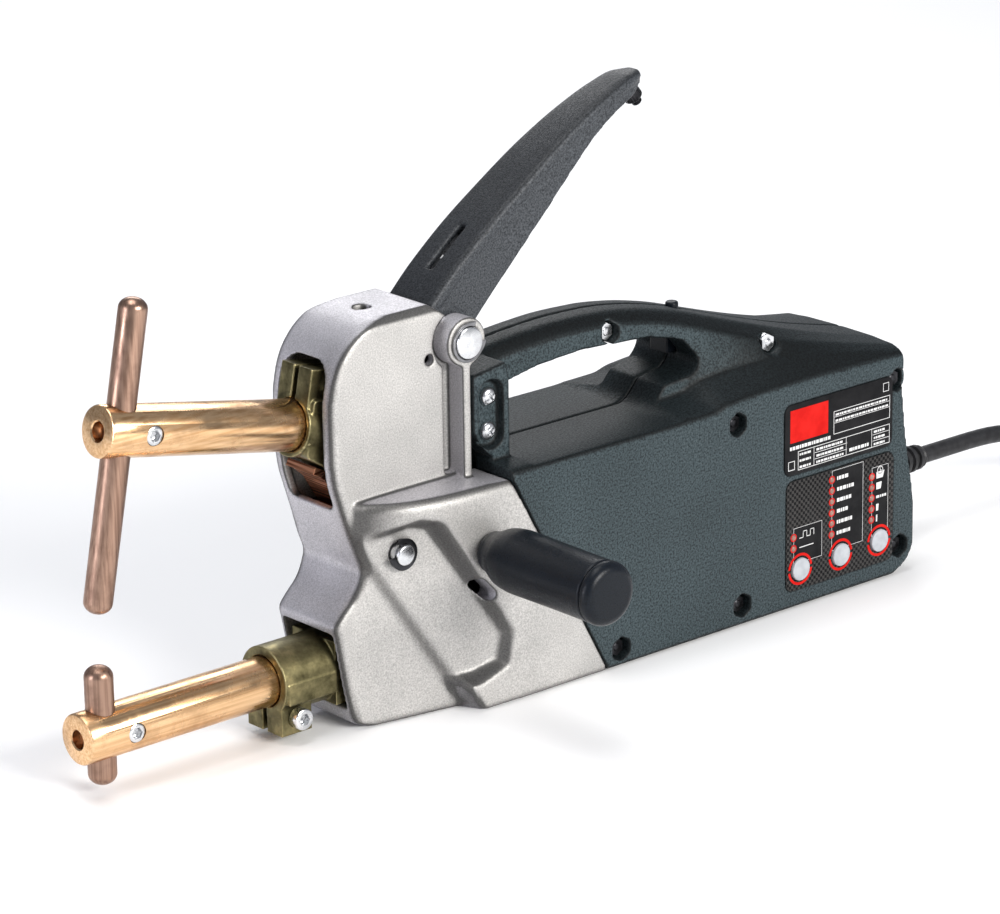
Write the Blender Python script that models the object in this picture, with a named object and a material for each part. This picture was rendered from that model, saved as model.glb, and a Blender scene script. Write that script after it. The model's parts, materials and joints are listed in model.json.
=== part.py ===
"""Hand-held spot welding gun with two copper arms, a closing lever and a carrying handle.

Lengths below are in millimetres and are turned into metres when a mesh is made.
-X is the front, where the arms are, +Z is up and the middle plane is Y = 0.
The origin lies on the underside, straight below the pivot of the upper arm.
"""
import math

import bmesh
import bpy
from mathutils import Matrix, Vector

MM = 0.001
GAP = 0.3  # clearance between two touching pieces
SPLIT = 0.15  # half of the joint between the two body shells

# Driving dimensions
ARM_PIVOT = (0.0, 0.0, 75.4)
LEVER_PIVOT = (38.3, 0.0, 158.0)
LEVER_TRAVEL = 39.0  # degrees from open to closed
ARM_RATIO = 0.22  # turn of the upper arm for each degree of the lever
ARM_TILT = math.radians(11.1)
ARM_HEIGHT = 49.4  # upper arm axis above its pivot, square to the arm
ARM_RADIUS = 10.8
ARM_BORE = 4.0
ARM_FRONT = -143.5  # front face of the upper arm, along the arm from the pivot
ARM_BACK = -15.0
LOWER_ARM_Z = 25.5
LOWER_ARM_FRONT = -147.7
LOWER_ARM_BACK = -16.0
ELECTRODE_RADIUS = 6.0
UPPER_ELECTRODE_ALONG = -133.1
UPPER_ELECTRODE_SPAN = (-25.4, 103.6)  # tip and top, square to the arm from the pivot
LOWER_ELECTRODE_X = -136.0
LOWER_ELECTRODE_SPAN = (3.4, 54.5)
SET_SCREW_BACK = 10.4  # set screw behind its electrode
SET_SCREW_RADIUS = 3.4

NECK_HALF = 20.0  # half width of the upper part of the casting
BODY_HALF = 40.0  # half width of the body
BOSS_FACE = 26.0  # face of the lever pin bosses and of the handle flange
LEDGE_Z = 98.4
TOP_Z = 175.0
WALL = 4.0
JOINT_X = 50.0  # joint between casting and shells at ledge height
JOINT_SLOPE = 0.54  # how far the joint runs back for each millimetre down
NECK_BACK = 40.5

BODY_LENGTH_END = 291.0
PANEL_TOP = 102.5
SHELL_WALL = 3.2

LEVER_PIN_RADIUS = 6.85
ARM_PIN_RADIUS = 4.5
ARM_PIN_HALF = 30.6
LINK_PIN_RADIUS = 3.0
LINK_CRANK = 16.0  # lever pivot to link pin
LINK_REACH = 72.7  # arm pivot to link pin

GRIP_X = 38.0
GRIP_Z = 70.5
GRIP_END = -114.0
GRIP_RADIUS = 13.8
GRIP_STUD_RADIUS = 3.7

CABLE_RADIUS = 4.0
CABLE_Z = 34.0

GLAND_X = 279.8  # inner face of the cable gland

BUTTON_NAMES = ("mode_button", "thickness_button", "time_button")
BUTTON_PLACES = ((218.0, 18.0), (243.2, 18.6), (267.6, 19.4))
BUTTON_RADIUS = 5.2
GUIDE_PLACES = ((213.8, 28.3, 33.5), (237.5, 29.3, 55.0), (262.7, 30.2, 50.5))  # x, lowest, highest light
SCREW_RADIUS = 2.0
SCREW_PLACES = ((180.0, 93.5), (110.8, 8.0), (183.0, 9.5), (281.0, 13.5), (278.5, 92.5))
HANDLE_SCREW_PLACES = ((128.5, 140.5, 14.6), (214.7, 119.5, 25.5))
FLANGE_SCREW_PLACES = ((52.0, 131.0), (51.6, 116.0))
ADJUSTER_REST = (154.0, 0.0, 239.0)  # middle of the knurled adjuster under the lever's tip
START_BUTTON = (178.0, 141.4)
POINTER_REST = 8.4  # place of the force pointer along the slot
FORCE_SCREW_HEAD = 28.0


# ---------------------------------------------------------------- materials
def material(name, colour, roughness, metallic=0.0):
    made = bpy.data.materials.new(name)
    made.use_nodes = True
    shader = made.node_tree.nodes["Principled BSDF"]
    shader.inputs["Base Color"].default_value = (*colour, 1.0)
    shader.inputs["Roughness"].default_value = roughness
    shader.inputs["Metallic"].default_value = metallic
    made.diffuse_color = (*colour, 1.0)
    return made


def make_materials():
    return {
        "casting": material("cast_aluminium", (0.60, 0.58, 0.55), 0.45, 0.9),
        "shell": material("slate_plastic", (0.045, 0.055, 0.065), 0.55),
        "black": material("black_plastic", (0.012, 0.013, 0.016), 0.45),
        "copper": material("copper", (0.78, 0.42, 0.25), 0.28, 1.0),
        "brass": material("olive_brass", (0.38, 0.33, 0.16), 0.42, 1.0),
        "steel": material("zinc_steel", (0.70, 0.70, 0.70), 0.28, 1.0),
        "spring": material("spring_steel", (0.25, 0.25, 0.26), 0.35, 1.0),
        "core": material("lamination_steel", (0.18, 0.18, 0.19), 0.55, 0.8),
        "winding": material("enamelled_wire", (0.45, 0.16, 0.06), 0.40, 0.6),
        "rubber": material("black_rubber", (0.010, 0.010, 0.011), 0.70),
        "grey": material("grey_button", (0.42, 0.42, 0.43), 0.40),
        "red": material("red_light_guide", (0.45, 0.02, 0.02), 0.25),
        "green": material("circuit_board", (0.02, 0.16, 0.07), 0.45),
        "white": material("white_pointer", (0.85, 0.85, 0.85), 0.45),
    }


# ---------------------------------------------------------------- mesh helpers
def place(name, mesh, surface):
    thing = bpy.data.objects.new(name, mesh)
    bpy.context.scene.collection.objects.link(thing)
    if surface is not None:
        mesh.materials.append(surface)
    return thing


def solid(name, points, faces, surface=None, smooth=None):
    """A closed mesh from points in millimetres, with its faces turned outwards."""
    mesh = bpy.data.meshes.new(name)
    mesh.from_pydata([tuple(value * MM for value in point) for point in points], [], faces)
    work = bmesh.new()
    work.from_mesh(mesh)
    bmesh.ops.recalc_face_normals(work, faces=work.faces)
    if work.calc_volume(signed=True) < 0:
        bmesh.ops.reverse_faces(work, faces=work.faces)
    bmesh.ops.triangulate(work, faces=work.faces)
    work.to_mesh(mesh)
    work.free()
    if smooth is not None:
        mesh.shade_smooth()
        mesh.set_sharp_from_angle(angle=math.radians(smooth))
    return place(name, mesh, surface)


def loft(name, rings, surface=None, smooth=None):
    """A skin over equal rings of points, closed by a face on each end."""
    count = len(rings[0])
    points = [point for ring in rings for point in ring]
    faces = []
    for ring in range(len(rings) - 1):
        first = ring * count
        for step in range(count):
            after = (step + 1) % count
            faces.append((first + step, first + after, first + count + after, first + count + step))
    faces.append(tuple(range(count)))
    faces.append(tuple(range(len(points) - count, len(points))))
    return solid(name, points, faces, surface, smooth)


AXIS_ORDER = {
    "X": lambda across, u, v: (across, u, v),
    "Y": lambda across, u, v: (u, across, v),
    "Z": lambda across, u, v: (u, v, across),
}


def prism(name, outline, axis, low, high, surface=None):
    """An outline pushed out along an axis; its pairs are the other two axes in order."""
    order = AXIS_ORDER[axis]
    rings = [[order(level, u, v) for u, v in outline] for level in (low, high)]
    return loft(name, rings, surface)


def box(name, low, high, surface=None):
    outline = ((low[0], low[1]), (high[0], low[1]), (high[0], high[1]), (low[0], high[1]))
    return prism(name, outline, "Z", low[2], high[2], surface)


def rounded(corners, radius, steps=3):
    """The outline with each corner replaced by an arc; radius is one value or one a corner."""
    radii = radius if hasattr(radius, "__len__") else [radius] * len(corners)
    outline = []
    for index, corner in enumerate(corners):
        here = Vector(corner)
        before = (Vector(corners[index - 1]) - here).normalized()
        after = (Vector(corners[(index + 1) % len(corners)]) - here).normalized()
        if radii[index] <= 0:
            outline.append(tuple(here))
            continue
        half = before.angle(after) / 2
        centre = here + (before + after).normalized() * radii[index] / math.sin(half)
        start = here + before * radii[index] / math.tan(half) - centre
        end = here + after * radii[index] / math.tan(half) - centre
        turn = start.angle_signed(end)
        for step in range(steps + 1):
            swing = Matrix.Rotation(-turn * step / steps, 2)
            outline.append(tuple(centre + swing @ start))
    return outline


def circle(centre, radius, count, phase=0.0):
    turn = 2 * math.pi / count
    return [
        (centre[0] + radius * math.cos(turn * k + phase), centre[1] + radius * math.sin(turn * k + phase))
        for k in range(count)
    ]


def turned(name, profile, base, direction, surface=None, count=20, smooth=40):
    """A profile of (distance along, radius) pairs spun about the line from base along direction."""
    frame = Vector(direction).normalized().to_track_quat("Z", "Y").to_matrix()
    start = Vector(base)
    points = []
    faces = []
    rows = []
    for along, radius in profile:
        if radius <= 0:
            rows.append([len(points)])
            points.append(start + frame @ Vector((0, 0, along)))
            continue
        rows.append(list(range(len(points), len(points) + count)))
        points += [start + frame @ Vector((x, y, along)) for x, y in circle((0, 0), radius, count)]
    for row, above in zip(rows, rows[1:]):
        for step in range(count):
            after = (step + 1) % count
            corners = [row[step % len(row)], row[after % len(row)], above[after % len(above)],
                       above[step % len(above)]]
            faces.append(tuple(dict.fromkeys(corners)))
    for row in (rows[0], rows[-1]):
        if len(row) > 1:
            faces.append(tuple(row))
    return solid(name, points, faces, surface, smooth)


def rod(name, base, direction, length, radius, surface=None, count=20, chamfer=0.0):
    profile = [(0, radius - chamfer), (chamfer, radius), (length - chamfer, radius),
               (length, radius - chamfer)]
    if chamfer == 0:
        profile = [(0, radius), (length, radius)]
    return turned(name, profile, base, direction, surface, count)


def combine(target, others, operation):
    """Booleans on the target; what it is cut or joined with stays behind as a hidden guide."""
    for other in others:
        change = target.modifiers.new(operation.lower() + "_" + other.name, "BOOLEAN")
        change.operation = operation
        change.solver = "EXACT"
        change.object = other
        other.hide_render = True
        other.display_type = "WIRE"
    return target


def cut(target, *cutters):
    return combine(target, cutters, "DIFFERENCE")


def join(target, *others):
    return combine(target, others, "UNION")


def merge_flat(*things):
    """Joins the flat neighbouring faces that the booleans leave."""
    for thing in things:
        change = thing.modifiers.new("merge_flat_faces", "DECIMATE")
        change.decimate_type = "DISSOLVE"
        change.angle_limit = math.radians(0.6)
    return things[0]


def hang(joint_name, pivot, *things):
    """Things that turn or slide together, parented to an empty on their joint."""
    empty = bpy.data.objects.new(joint_name, None)
    bpy.context.scene.collection.objects.link(empty)
    empty.location = Vector(pivot) * MM
    for thing in things:
        thing.parent = empty
        thing.location = -empty.location
    return empty


def blend(low, high, value):
    share = min(max((value - low) / (high - low), 0.0), 1.0)
    return share * share * (3 - 2 * share)


def along_line(table, value):
    """Straight interpolation in a short table of (place, size) pairs."""
    if value <= table[0][0]:
        return table[0][1]
    for (here, size), (after, next_size) in zip(table, table[1:]):
        if value <= after:
            return size + (next_size - size) * (value - here) / (after - here)
    return table[-1][1]


# ---------------------------------------------------------------- casting shape
FRONT_LINE = (  # height, front face
    (0, -13), (3, -20), (10, -22.5), (44, -29.3), (47, -30), (52, -26.5), (58, -20.5), (64, -17),
    (69, -15.5), (76, -17.8), (90, -22.5), (101, -26), (109, -28.3), (120, -29.6), (140, -29.8),
    (150, -28.3), (158, -25.5), (165, -20.5), (170, -14.5), (173.5, -7), (175, 2),
)
CASTING_LEVELS = (
    0, 3, 9, 14, 19, 25, 31, 37, 43, 47, 52, 57, 63, 69, 74, 80, 86, 91, 95,
    98.4, 100.5, 109, 120, 139, 150, 158, 165, 170, 173, 175,
)
SIDE_SAMPLES = 16
POCKET_EDGE = ((-30, 82), (4, 88.5), (13, 86), (21, 74), (36, 51), (48.5, 31), (46, 18.5), (32, 14.2),
               (-30, 14))


def joint_line(z):
    return JOINT_X + (LEDGE_Z - z) * JOINT_SLOPE


def pocket_depth(x, z):
    """Signed distance to the edge of the pin pocket, positive inside it."""
    here = Vector((x, z))
    nearest = 1000.0
    inside = False
    for index, corner in enumerate(POCKET_EDGE):
        start = Vector(POCKET_EDGE[index - 1])
        edge = Vector(corner) - start
        share = min(max((here - start).dot(edge) / edge.length_squared, 0.0), 1.0)
        nearest = min(nearest, (here - start - edge * share).length)
        if (start.y > z) != (corner[1] > z) and x < start.x + edge.x * (z - start.y) / edge.y:
            inside = not inside
    return nearest if inside else -nearest


def step_distance(x, z):
    """Distance behind the diagonal step that runs down and back across the side."""
    top = Vector((-17.0, 77.0))
    foot = Vector((31.0, 2.0))
    along = (foot - top).normalized()
    square = Vector((-along.y, along.x))
    return (Vector((x, z)) - top).dot(square)


def side_width(x, z):
    """Half width of the lower casting: a flared front, a step, a pin pocket and an outer pad."""
    front = NECK_HALF + 0.23 * max(x + 20, 0)
    floor = 26.0 + 0.19 * x
    pad = NECK_HALF + (BODY_HALF - NECK_HALF) * (1 - math.exp(-max(x + 20, 0) / 17))
    side = pad + (min(floor, pad) - pad) * blend(-3.2, 3.2, pocket_depth(x, z))
    width = front + (side - front) * blend(-3.0, 3.0, step_distance(x, z))
    if z > LEDGE_Z:
        width += (NECK_HALF - width) * blend(LEDGE_Z, LEDGE_Z + 1.8, z)
    elif z > LEDGE_Z - 4:
        width -= 2.2 * ((z - LEDGE_Z + 4) / 4) ** 2 * blend(20.5, 26, width)
    return width


def back_line(z):
    if z <= LEDGE_Z:
        return joint_line(z)
    if z <= 160:
        return NECK_BACK
    return along_line(((160, NECK_BACK), (167, 35.5), (172, 29), (TOP_Z, 25)), z)


def casting_ring(z, samples=SIDE_SAMPLES):
    front = along_line(FRONT_LINE, z)
    back = back_line(z)
    edge = along_line(((0, 1.5), (3, 0), (171, 0), (TOP_Z, 3.5)), z)
    corner = 3.2
    side = [(front, side_width(front, z) - corner),
            (front + corner * 0.3, side_width(front, z) - corner * 0.3)]
    for step in range(samples + 1):
        x = front + corner + (back - front - corner) * step / samples
        side.append((x, side_width(x, z)))
    left = [(x, -(width - edge), z) for x, width in side]
    right = [(x, width - edge, z) for x, width in reversed(side)]
    return left + right


def cavity_ring(z):
    """The hollow of the casting, open at the back, follows the outside at wall thickness."""
    front = along_line(FRONT_LINE, z) + 4.2
    if z > LEDGE_Z - 7:
        spans = ((front, 15.5), (30, 15.5), (60, 15.5), (120, 15.5))
    else:
        spans = ((front, 16.0), (max(front + 10, 0), 20.5), (40, 27.5), (120, 36.0))
    left = [(x, -half, z) for x, half in spans]
    right = [(x, half, z) for x, half in reversed(spans)]
    return left + right


def make_front_casting(look):
    casting = loft("front_casting", [casting_ring(z) for z in CASTING_LEVELS], look["casting"], 35)
    pivot = LEVER_PIVOT
    boss = rod("casting_pin_boss", (pivot[0], -BOSS_FACE, pivot[2]), (0, 1, 0), 2 * BOSS_FACE, 10.4,
               count=28)
    rib = box("casting_back_rib", (36.0, -BOSS_FACE, 98.0), (NECK_BACK - 0.05, BOSS_FACE, 152.0))
    join(casting, boss, rib)

    levels = (WALL, 10, 44, 47, 52, 58, 64, 69, 76, 90, 93, 101, 109, 120, 140, 150, 158, 165, 170.5)
    hollow = loft("casting_hollow", [cavity_ring(z) for z in levels])
    lever_way = prism(
        "casting_lever_way",
        ((25.5, 169.0), (26.5, 190.0), (70.0, 190.0), (70.0, 101.0), (25.5, 101.0)),
        "Y", -15.5, 15.5,
    )
    slot_corners = ((-13.6, 96.5), (13.6, 96.5), (13.6, 159.5), (-13.6, 159.5))
    slot = prism("casting_arm_slot", rounded(slot_corners, (4, 4, 9, 9), 4), "X", -40, -8)
    window_corners = ((-16.2, 9.5), (16.2, 9.5), (16.2, 44.0), (-16.2, 44.0))
    window = prism("casting_lower_window", rounded(window_corners, 1.5, 2), "X", -40, -10)
    cut(casting, hollow, lever_way, slot, window)

    across = (0, 1, 0)
    holes = [
        rod("casting_arm_pin_hole", (ARM_PIVOT[0], -50, ARM_PIVOT[2]), across, 100, ARM_PIN_RADIUS + GAP,
            count=20),
        rod("casting_lever_pin_hole", (pivot[0], -50, pivot[2]), across, 100, LEVER_PIN_RADIUS + GAP,
            count=24),
        rod("casting_small_hole", (23.2, -30, 152.2), across, 60, 2.3, count=12),
        rod("casting_grip_hole_left", (GRIP_X, -50, GRIP_Z), across, 30, 4.0, count=16),
        rod("casting_grip_hole_right", (GRIP_X, 20, GRIP_Z), across, 30, 4.0, count=16),
        rod("casting_top_hole", (4.0, 0, 160), (0, 0, 1), 20, 3.6, count=16),
    ]
    for sign, side in ((-1, "left"), (1, "right")):
        ends = ((29.6, 56.5), (35.0, 50.5))
        first, second = Vector(ends[0]), Vector(ends[1])
        turn = math.atan2(second.y - first.y, second.x - first.x)
        arc = [circle(ends[1], 2.5, 12, turn - math.pi / 2)[k] for k in range(7)]
        arc += [circle(ends[0], 2.5, 12, turn + math.pi / 2)[k] for k in range(7)]
        low, high = sorted((sign * 22, sign * 45))
        holes.append(prism("casting_oval_hole_" + side, arc, "Y", low, high))
    return merge_flat(cut(casting, *holes))


# ---------------------------------------------------------------- body shells
BODY_STATIONS = (  # x, top height, side half width, foot half width, foot height, ledge height
    (45, 147.0, 14.0, 14.0, 104.0, PANEL_TOP),
    (62, 147.6, 14.0, 14.3, 104.0, PANEL_TOP),
    (82, 149.4, 14.3, 14.6, 104.0, PANEL_TOP),
    (104, 150.4, 14.6, 14.9, 104.0, PANEL_TOP),
    (126, 149.6, 14.9, 15.4, 104.0, PANEL_TOP),
    (146, 147.0, 15.4, 16.4, 104.5, PANEL_TOP),
    (166, 142.5, 16.4, 18.6, 106.5, PANEL_TOP),
    (174, 140.2, 17.0, 21.0, 110.5, 104.0),
    (192, 134.2, 19.0, 23.8, 113.0, 104.8),
    (212, 127.6, 22.0, 27.0, 114.2, 104.8),
    (234, 120.8, 25.5, 30.5, 112.4, 104.6),
    (256, 114.8, 29.0, 33.5, 109.4, 104.2),
    (272, 111.0, 31.5, 35.5, 107.0, 103.8),
    (283, 108.4, 33.5, 36.8, 105.4, 103.4),
)


def body_ring(x, top, side, foot, foot_z, ledge, base=0.0, half=BODY_HALF):
    """Section across the body: panel, ledge, flank up to the handle and its rounded back."""
    crown = min(5.0, (top - foot_z) * 0.45)
    outline = [
        (half - 2.5, base), (half - 0.6, base + 0.8), (half, base + 2.8), (half, ledge - 4.0),
        (half - 0.9, ledge - 1.2), (half - 3.4, ledge), (foot + 0.8, foot_z),
        (side, top - crown), (side * 0.86, top - crown * 0.42), (side * 0.55, top - crown * 0.1), (0.0, top),
    ]
    left = [(x, -y, z) for y, z in outline]
    right = [(x, y, z) for y, z in reversed(outline[:-1])]
    return left + right


def body_rings():
    rings = [body_ring(*station) for station in BODY_STATIONS]
    x, top, side, foot, foot_z, ledge = BODY_STATIONS[-1]
    for back, drop, lift in ((286.5, 2.2, 0.0), (289.5, 8.0, 0.4), (BODY_LENGTH_END, 40.0, 1.2)):
        ring = body_ring(x, top - drop * 0.6, side, foot, foot_z - drop * 0.6, ledge - drop * 0.6, lift,
                         BODY_HALF - 0.6)
        rings.append([(back, y, z) for _, y, z in ring])
    return rings


def gap_outline():
    corners = (
        (61.5, PANEL_TOP - 0.6), (149, PANEL_TOP - 0.6), (157, 111.5), (171, 113.6), (176.5, 119.0),
        (168, 129.5), (150, 134.0), (112, 136.2), (87, 134.6), (70, 131.4), (61.5, 126.0),
    )
    return rounded(corners, (3, 12, 4, 3, 5, 10, 20, 60, 60, 12, 4), 2)


def shell_front_cutter(name):
    """What lies in front of the shells: the casting behind its slanting joint, and the neck."""
    low = (joint_line(-10) + GAP, -10)
    corner = (joint_line(LEDGE_Z) + GAP, LEDGE_Z)
    outline = ((-40, -10), low, corner, (corner[0], 101.0), (49.0, 106.6), (NECK_BACK + 0.5, 117.5),
               (NECK_BACK + 0.5, 190), (-40, 190))
    return prism(name, outline, "Y", -60, 60)


def make_shell_solid(name, look):
    body = loft(name, body_rings(), look["shell"], 35)
    flange_outline = (
        (NECK_BACK + 0.5, 117.5), (49.0, 106.6), (58.0, 100.0), (61.5, 100.0),
        (61.5, 137.0), (59.4, 145.2), (NECK_BACK + 0.5, 142.2),
    )
    flange = prism(name + "_flange", flange_outline, "Y", -BOSS_FACE, BOSS_FACE)
    rear = prism(
        name + "_back_slope",
        ((278.5, -5), (300, -5), (300, 130), (283.0, 130), (283.0, 100), (281.6, 91), (284.4, 66),
         (290.6, 32), (290.6, 12), (286, 5.5), (278.5, 0.6)),
        "Y", -60, 60,
    )
    join(body, flange)
    cut(body, shell_front_cutter(name + "_front_way"), rear)
    hollow = prism(
        name + "_hollow",
        ((45, SHELL_WALL), (281, SHELL_WALL), (286, 12), (286, 32), (279.5, 66), (277, 97.5), (60, 97.5),
         (45, 97.5)),
        "Y", -(BODY_HALF - SHELL_WALL), BODY_HALF - SHELL_WALL,
    )
    loft_hollow = prism(
        name + "_back_hollow",
        ((186, 96.5), (272, 96.5), (272, 102.5), (222, 118.0), (192, 125.0), (186, 118.0)),
        "Y", -15.0, 15.0,
    )
    gap = prism(name + "_finger_gap", gap_outline(), "Y", -60, 60)
    neck_way = box(name + "_neck_way", (30, -15.6, 96), (56, 15.6, 138.0))
    crank_way = box(name + "_crank_way", (30, -13.1, 130), (53, 13.1, 156.0))
    cut(body, hollow, loft_hollow, gap, neck_way, crank_way)
    return body


def make_shell_bosses(name, sign):
    bosses = []
    for index, (x, z) in enumerate(SCREW_PLACES):
        start = sign * (BODY_HALF - 2.0)
        bosses.append(rod(f"{name}_boss_{index}", (x, start, z), (0, -sign, 0), BODY_HALF, 7.0, count=12))
    return bosses


def make_shell(name, look, sign):
    """One half of the body; sign is -1 for the left shell and +1 for the right one."""
    body = make_shell_solid(name, look)
    join(body, *make_shell_bosses(name, sign))
    across = (0, sign, 0)
    low, high = sorted((sign * SPLIT, -sign * 70))
    cutters = [box(name + "_other_half", (-60, low, -20), (320, high, 220))]
    for index, (x, z) in enumerate(SCREW_PLACES):
        cutters.append(rod(f"{name}_screw_way_{index}", (x, -sign, z), across, 60, 2.0 + GAP, count=10))
        pocket = circle((x, z), 5.4, 6 if sign < 0 else 16, math.pi / 6)
        low, high = sorted((sign * (BODY_HALF - 7), sign * (BODY_HALF + 5)))
        cutters.append(prism(f"{name}_screw_pocket_{index}", pocket, "Y", low, high))
    for index, (x, z, half) in enumerate(HANDLE_SCREW_PLACES):
        cutters.append(rod(f"{name}_handle_screw_way_{index}", (x, -sign, z), across, 60, 2.0 + GAP,
                           count=10))
        pocket = circle((x, z), 5.0, 6 if sign < 0 else 16, math.pi / 6)
        low, high = sorted((sign * (half - 6.5), sign * (half + 12)))
        cutters.append(prism(f"{name}_handle_pocket_{index}", pocket, "Y", low, high))
    recess = rounded(((44.5, 109.0), (57.5, 109.0), (57.5, 138.5), (44.5, 138.5)), 5.8, 3)
    low, high = sorted((sign * (BOSS_FACE - 4), sign * (BOSS_FACE + 4)))
    cutters.append(prism(name + "_flange_recess", recess, "Y", low, high))
    for index, (x, z) in enumerate(FLANGE_SCREW_PLACES):
        cutters.append(rod(f"{name}_flange_screw_way_{index}", (x, sign * 14, z), across, 30, 2.0 + GAP,
                           count=10))
    cutters.append(rod(name + "_gland_way", (270, 0, CABLE_Z), (1, 0, 0), 40, 8.0 + GAP, count=20))
    cutters.append(box(name + "_switch_way", (169.0, -6.3, 120.0), (187.0, 6.3, 135.0)))
    cutters.append(rod(name + "_start_way", (178.0, 0, 130), (0, 0, 1), 20, 3.4, count=16))
    if sign < 0:
        cutters += make_panel_cutters(name)
    return merge_flat(cut(body, *cutters))


PLATE_BOX = ((208.2, 62.8), (275.2, 95.3))
PANEL_BOX = ((209.4, 8.6), (276.4, 59.8))


def make_panel_cutters(name):
    depth = BODY_HALF - 1.1
    cutters = []
    for label, ((x0, z0), (x1, z1)) in (("plate", PLATE_BOX), ("panel", PANEL_BOX)):
        low = (x0 - GAP, -BODY_HALF - 4, z0 - GAP)
        high = (x1 + GAP, -depth, z1 + GAP)
        cutters.append(box(f"{name}_{label}_seat", low, high))
    for index, (x, z) in enumerate(BUTTON_PLACES):
        cutters.append(rod(f"{name}_button_way_{index}", (x, -50, z), (0, 1, 0), 20, 6.0, count=16))
    for index, (x, low, high) in enumerate(GUIDE_PLACES):
        cutters.append(box(f"{name}_guide_way_{index}", (x - 2.2, -50, low - 2.2),
                           (x + 2.2, -30, high + 2.2)))
    return cutters


# ---------------------------------------------------------------- arms and clamps
def arm_point(along, height, y=0.0):
    """A point in the frame of the upper arm: along it to the rear, and square to it upwards."""
    x = along * math.cos(ARM_TILT) + height * math.sin(ARM_TILT)
    z = -along * math.sin(ARM_TILT) + height * math.cos(ARM_TILT)
    return (ARM_PIVOT[0] + x, y, ARM_PIVOT[2] + z)


ARM_REARWARD = (math.cos(ARM_TILT), 0.0, -math.sin(ARM_TILT))
ARM_UPWARD = (math.sin(ARM_TILT), 0.0, math.cos(ARM_TILT))


def make_arm(name, look, front, direction, length, electrode_at, upward):
    arm = rod(name, front, direction, length, ARM_RADIUS, look["copper"], 28, 1.2)
    bore = rod(name + "_bore", front, direction, 26, ARM_BORE, count=16)
    bore.location = Vector(direction) * -2 * MM
    seat = Vector(front) + Vector(direction) * electrode_at
    hole = rod(name + "_electrode_hole", seat - Vector(upward) * 20, upward, 40, ELECTRODE_RADIUS + GAP,
               count=18)
    behind = seat + Vector(direction) * SET_SCREW_BACK
    way = SET_SCREW_RADIUS + GAP
    screw_hole = rod(name + "_screw_hole", (behind.x, -20, behind.z), (0, 1, 0), 20, way, count=14)
    return merge_flat(cut(arm, bore, hole, screw_hole))


def make_electrode(name, look, base, direction, length):
    radius = ELECTRODE_RADIUS
    dome = [(0.0, 0.0), (0.5, 2.6), (1.8, 4.7), (4.0, radius)]
    profile = dome + [(length - along, size) for along, size in reversed(dome)]
    return turned(name, profile, base, direction, look["copper"], 20)


def make_socket_screw(name, look, head_base, direction, shank, radius, head_radius, head_height):
    """A socket-head screw whose shank runs along direction from under its head."""
    screw = turned(
        name,
        [(-head_height, head_radius - 0.5), (-head_height + 0.5, head_radius), (0, head_radius),
         (0, radius), (shank, radius)],
        head_base, direction, look["steel"], 20,
    )
    inward = Vector(direction)
    top = Vector(head_base) - inward * (head_height + 1)
    frame = inward.to_track_quat("Z", "Y").to_matrix()
    rings = []
    for level in (0.0, head_height * 0.6 + 1):
        hexagon = circle((0, 0), head_radius * 0.55, 6)
        rings.append([top + frame @ Vector((x, y, level)) for x, y in hexagon])
    return cut(screw, loft(name + "_socket", rings))


def make_set_screw(name, look, face, depth):
    """A socket set screw in the side of an arm, pressing on the electrode."""
    screw = rod(name, face, (0, 1, 0), depth, SET_SCREW_RADIUS, look["steel"], 16, 0.4)
    x, y, z = face
    socket = prism(name + "_socket", circle((x, z), 1.8, 6), "Y", y - 1, y + 2.5)
    return cut(screw, socket)


UPPER_BLOCK = (  # side outline of the upper arm holder, in the frame of the arm
    (-44, 38), (-44, 62), (-23, 62), (-17.0, 79), (-1.0, 79), (5.0, 64), (11, 30), (10, -2),
    (4, -7.5), (-4, -7.5), (-7.5, -2), (-9, 8), (-13, 18), (-27, 31),
)
HOLDER_CORNERS = (3, 2, 2, 4, 4, 3, 6, 4, 3, 3, 3, 2, 3, 4)
UPPER_SCREW = (-34.5, 68.0)
LUG_HALF = 9.8


def make_upper_holder(look):
    outline = []
    for along, height in rounded(UPPER_BLOCK, HOLDER_CORNERS, 1):
        x, _, z = arm_point(along, height)
        outline.append((x, z))
    holder = prism("upper_arm_holder", outline, "Y", -11.5, 11.5, look["brass"])
    ring = rod("upper_holder_ring", arm_point(-46, ARM_HEIGHT), ARM_REARWARD, 31, 13.2, count=24)
    lug_low, lug_high = 55, 74.5
    lugs = loft("upper_holder_lugs", [
        [arm_point(along, height, y) for along, height in
         ((-45.8, lug_low), (-28.2, lug_low), (-28.2, lug_high), (-45.8, lug_high))]
        for y in (-LUG_HALF, LUG_HALF)
    ])
    join(holder, ring, lugs)
    slit = loft("upper_holder_slit", [
        [arm_point(along, height, y) for along, height in
         ((-50, ARM_HEIGHT), (-25.5, ARM_HEIGHT), (-25.5, 90), (-50, 90))]
        for y in (-1.3, 1.3)
    ])
    depth = 50 + ARM_BACK + GAP
    bore = rod("upper_holder_bore", arm_point(-50, ARM_HEIGHT), ARM_REARWARD, depth, ARM_RADIUS + GAP,
               count=28)
    x, _, z = arm_point(*UPPER_SCREW)
    across = (0, 1, 0)
    screw_way = rod("upper_holder_screw_way", (x, -20, z), across, 40, 3.0 + GAP, count=12)
    pin_start = (ARM_PIVOT[0], -20, ARM_PIVOT[2])
    pin_way = rod("upper_holder_pin_way", pin_start, across, 40, ARM_PIN_RADIUS + GAP, count=16)
    link_x, link_z = link_pin_on_holder()
    link_way = rod("upper_holder_link_way", (link_x, -20, link_z), across, 40, LINK_PIN_RADIUS + GAP,
                   count=12)
    fork = box("upper_holder_fork", (link_x - 12, -4.6, link_z - 8.5), (link_x + 16, 4.6, link_z + 12))
    return merge_flat(cut(holder, slit, bore, screw_way, pin_way, link_way, fork))


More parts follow.
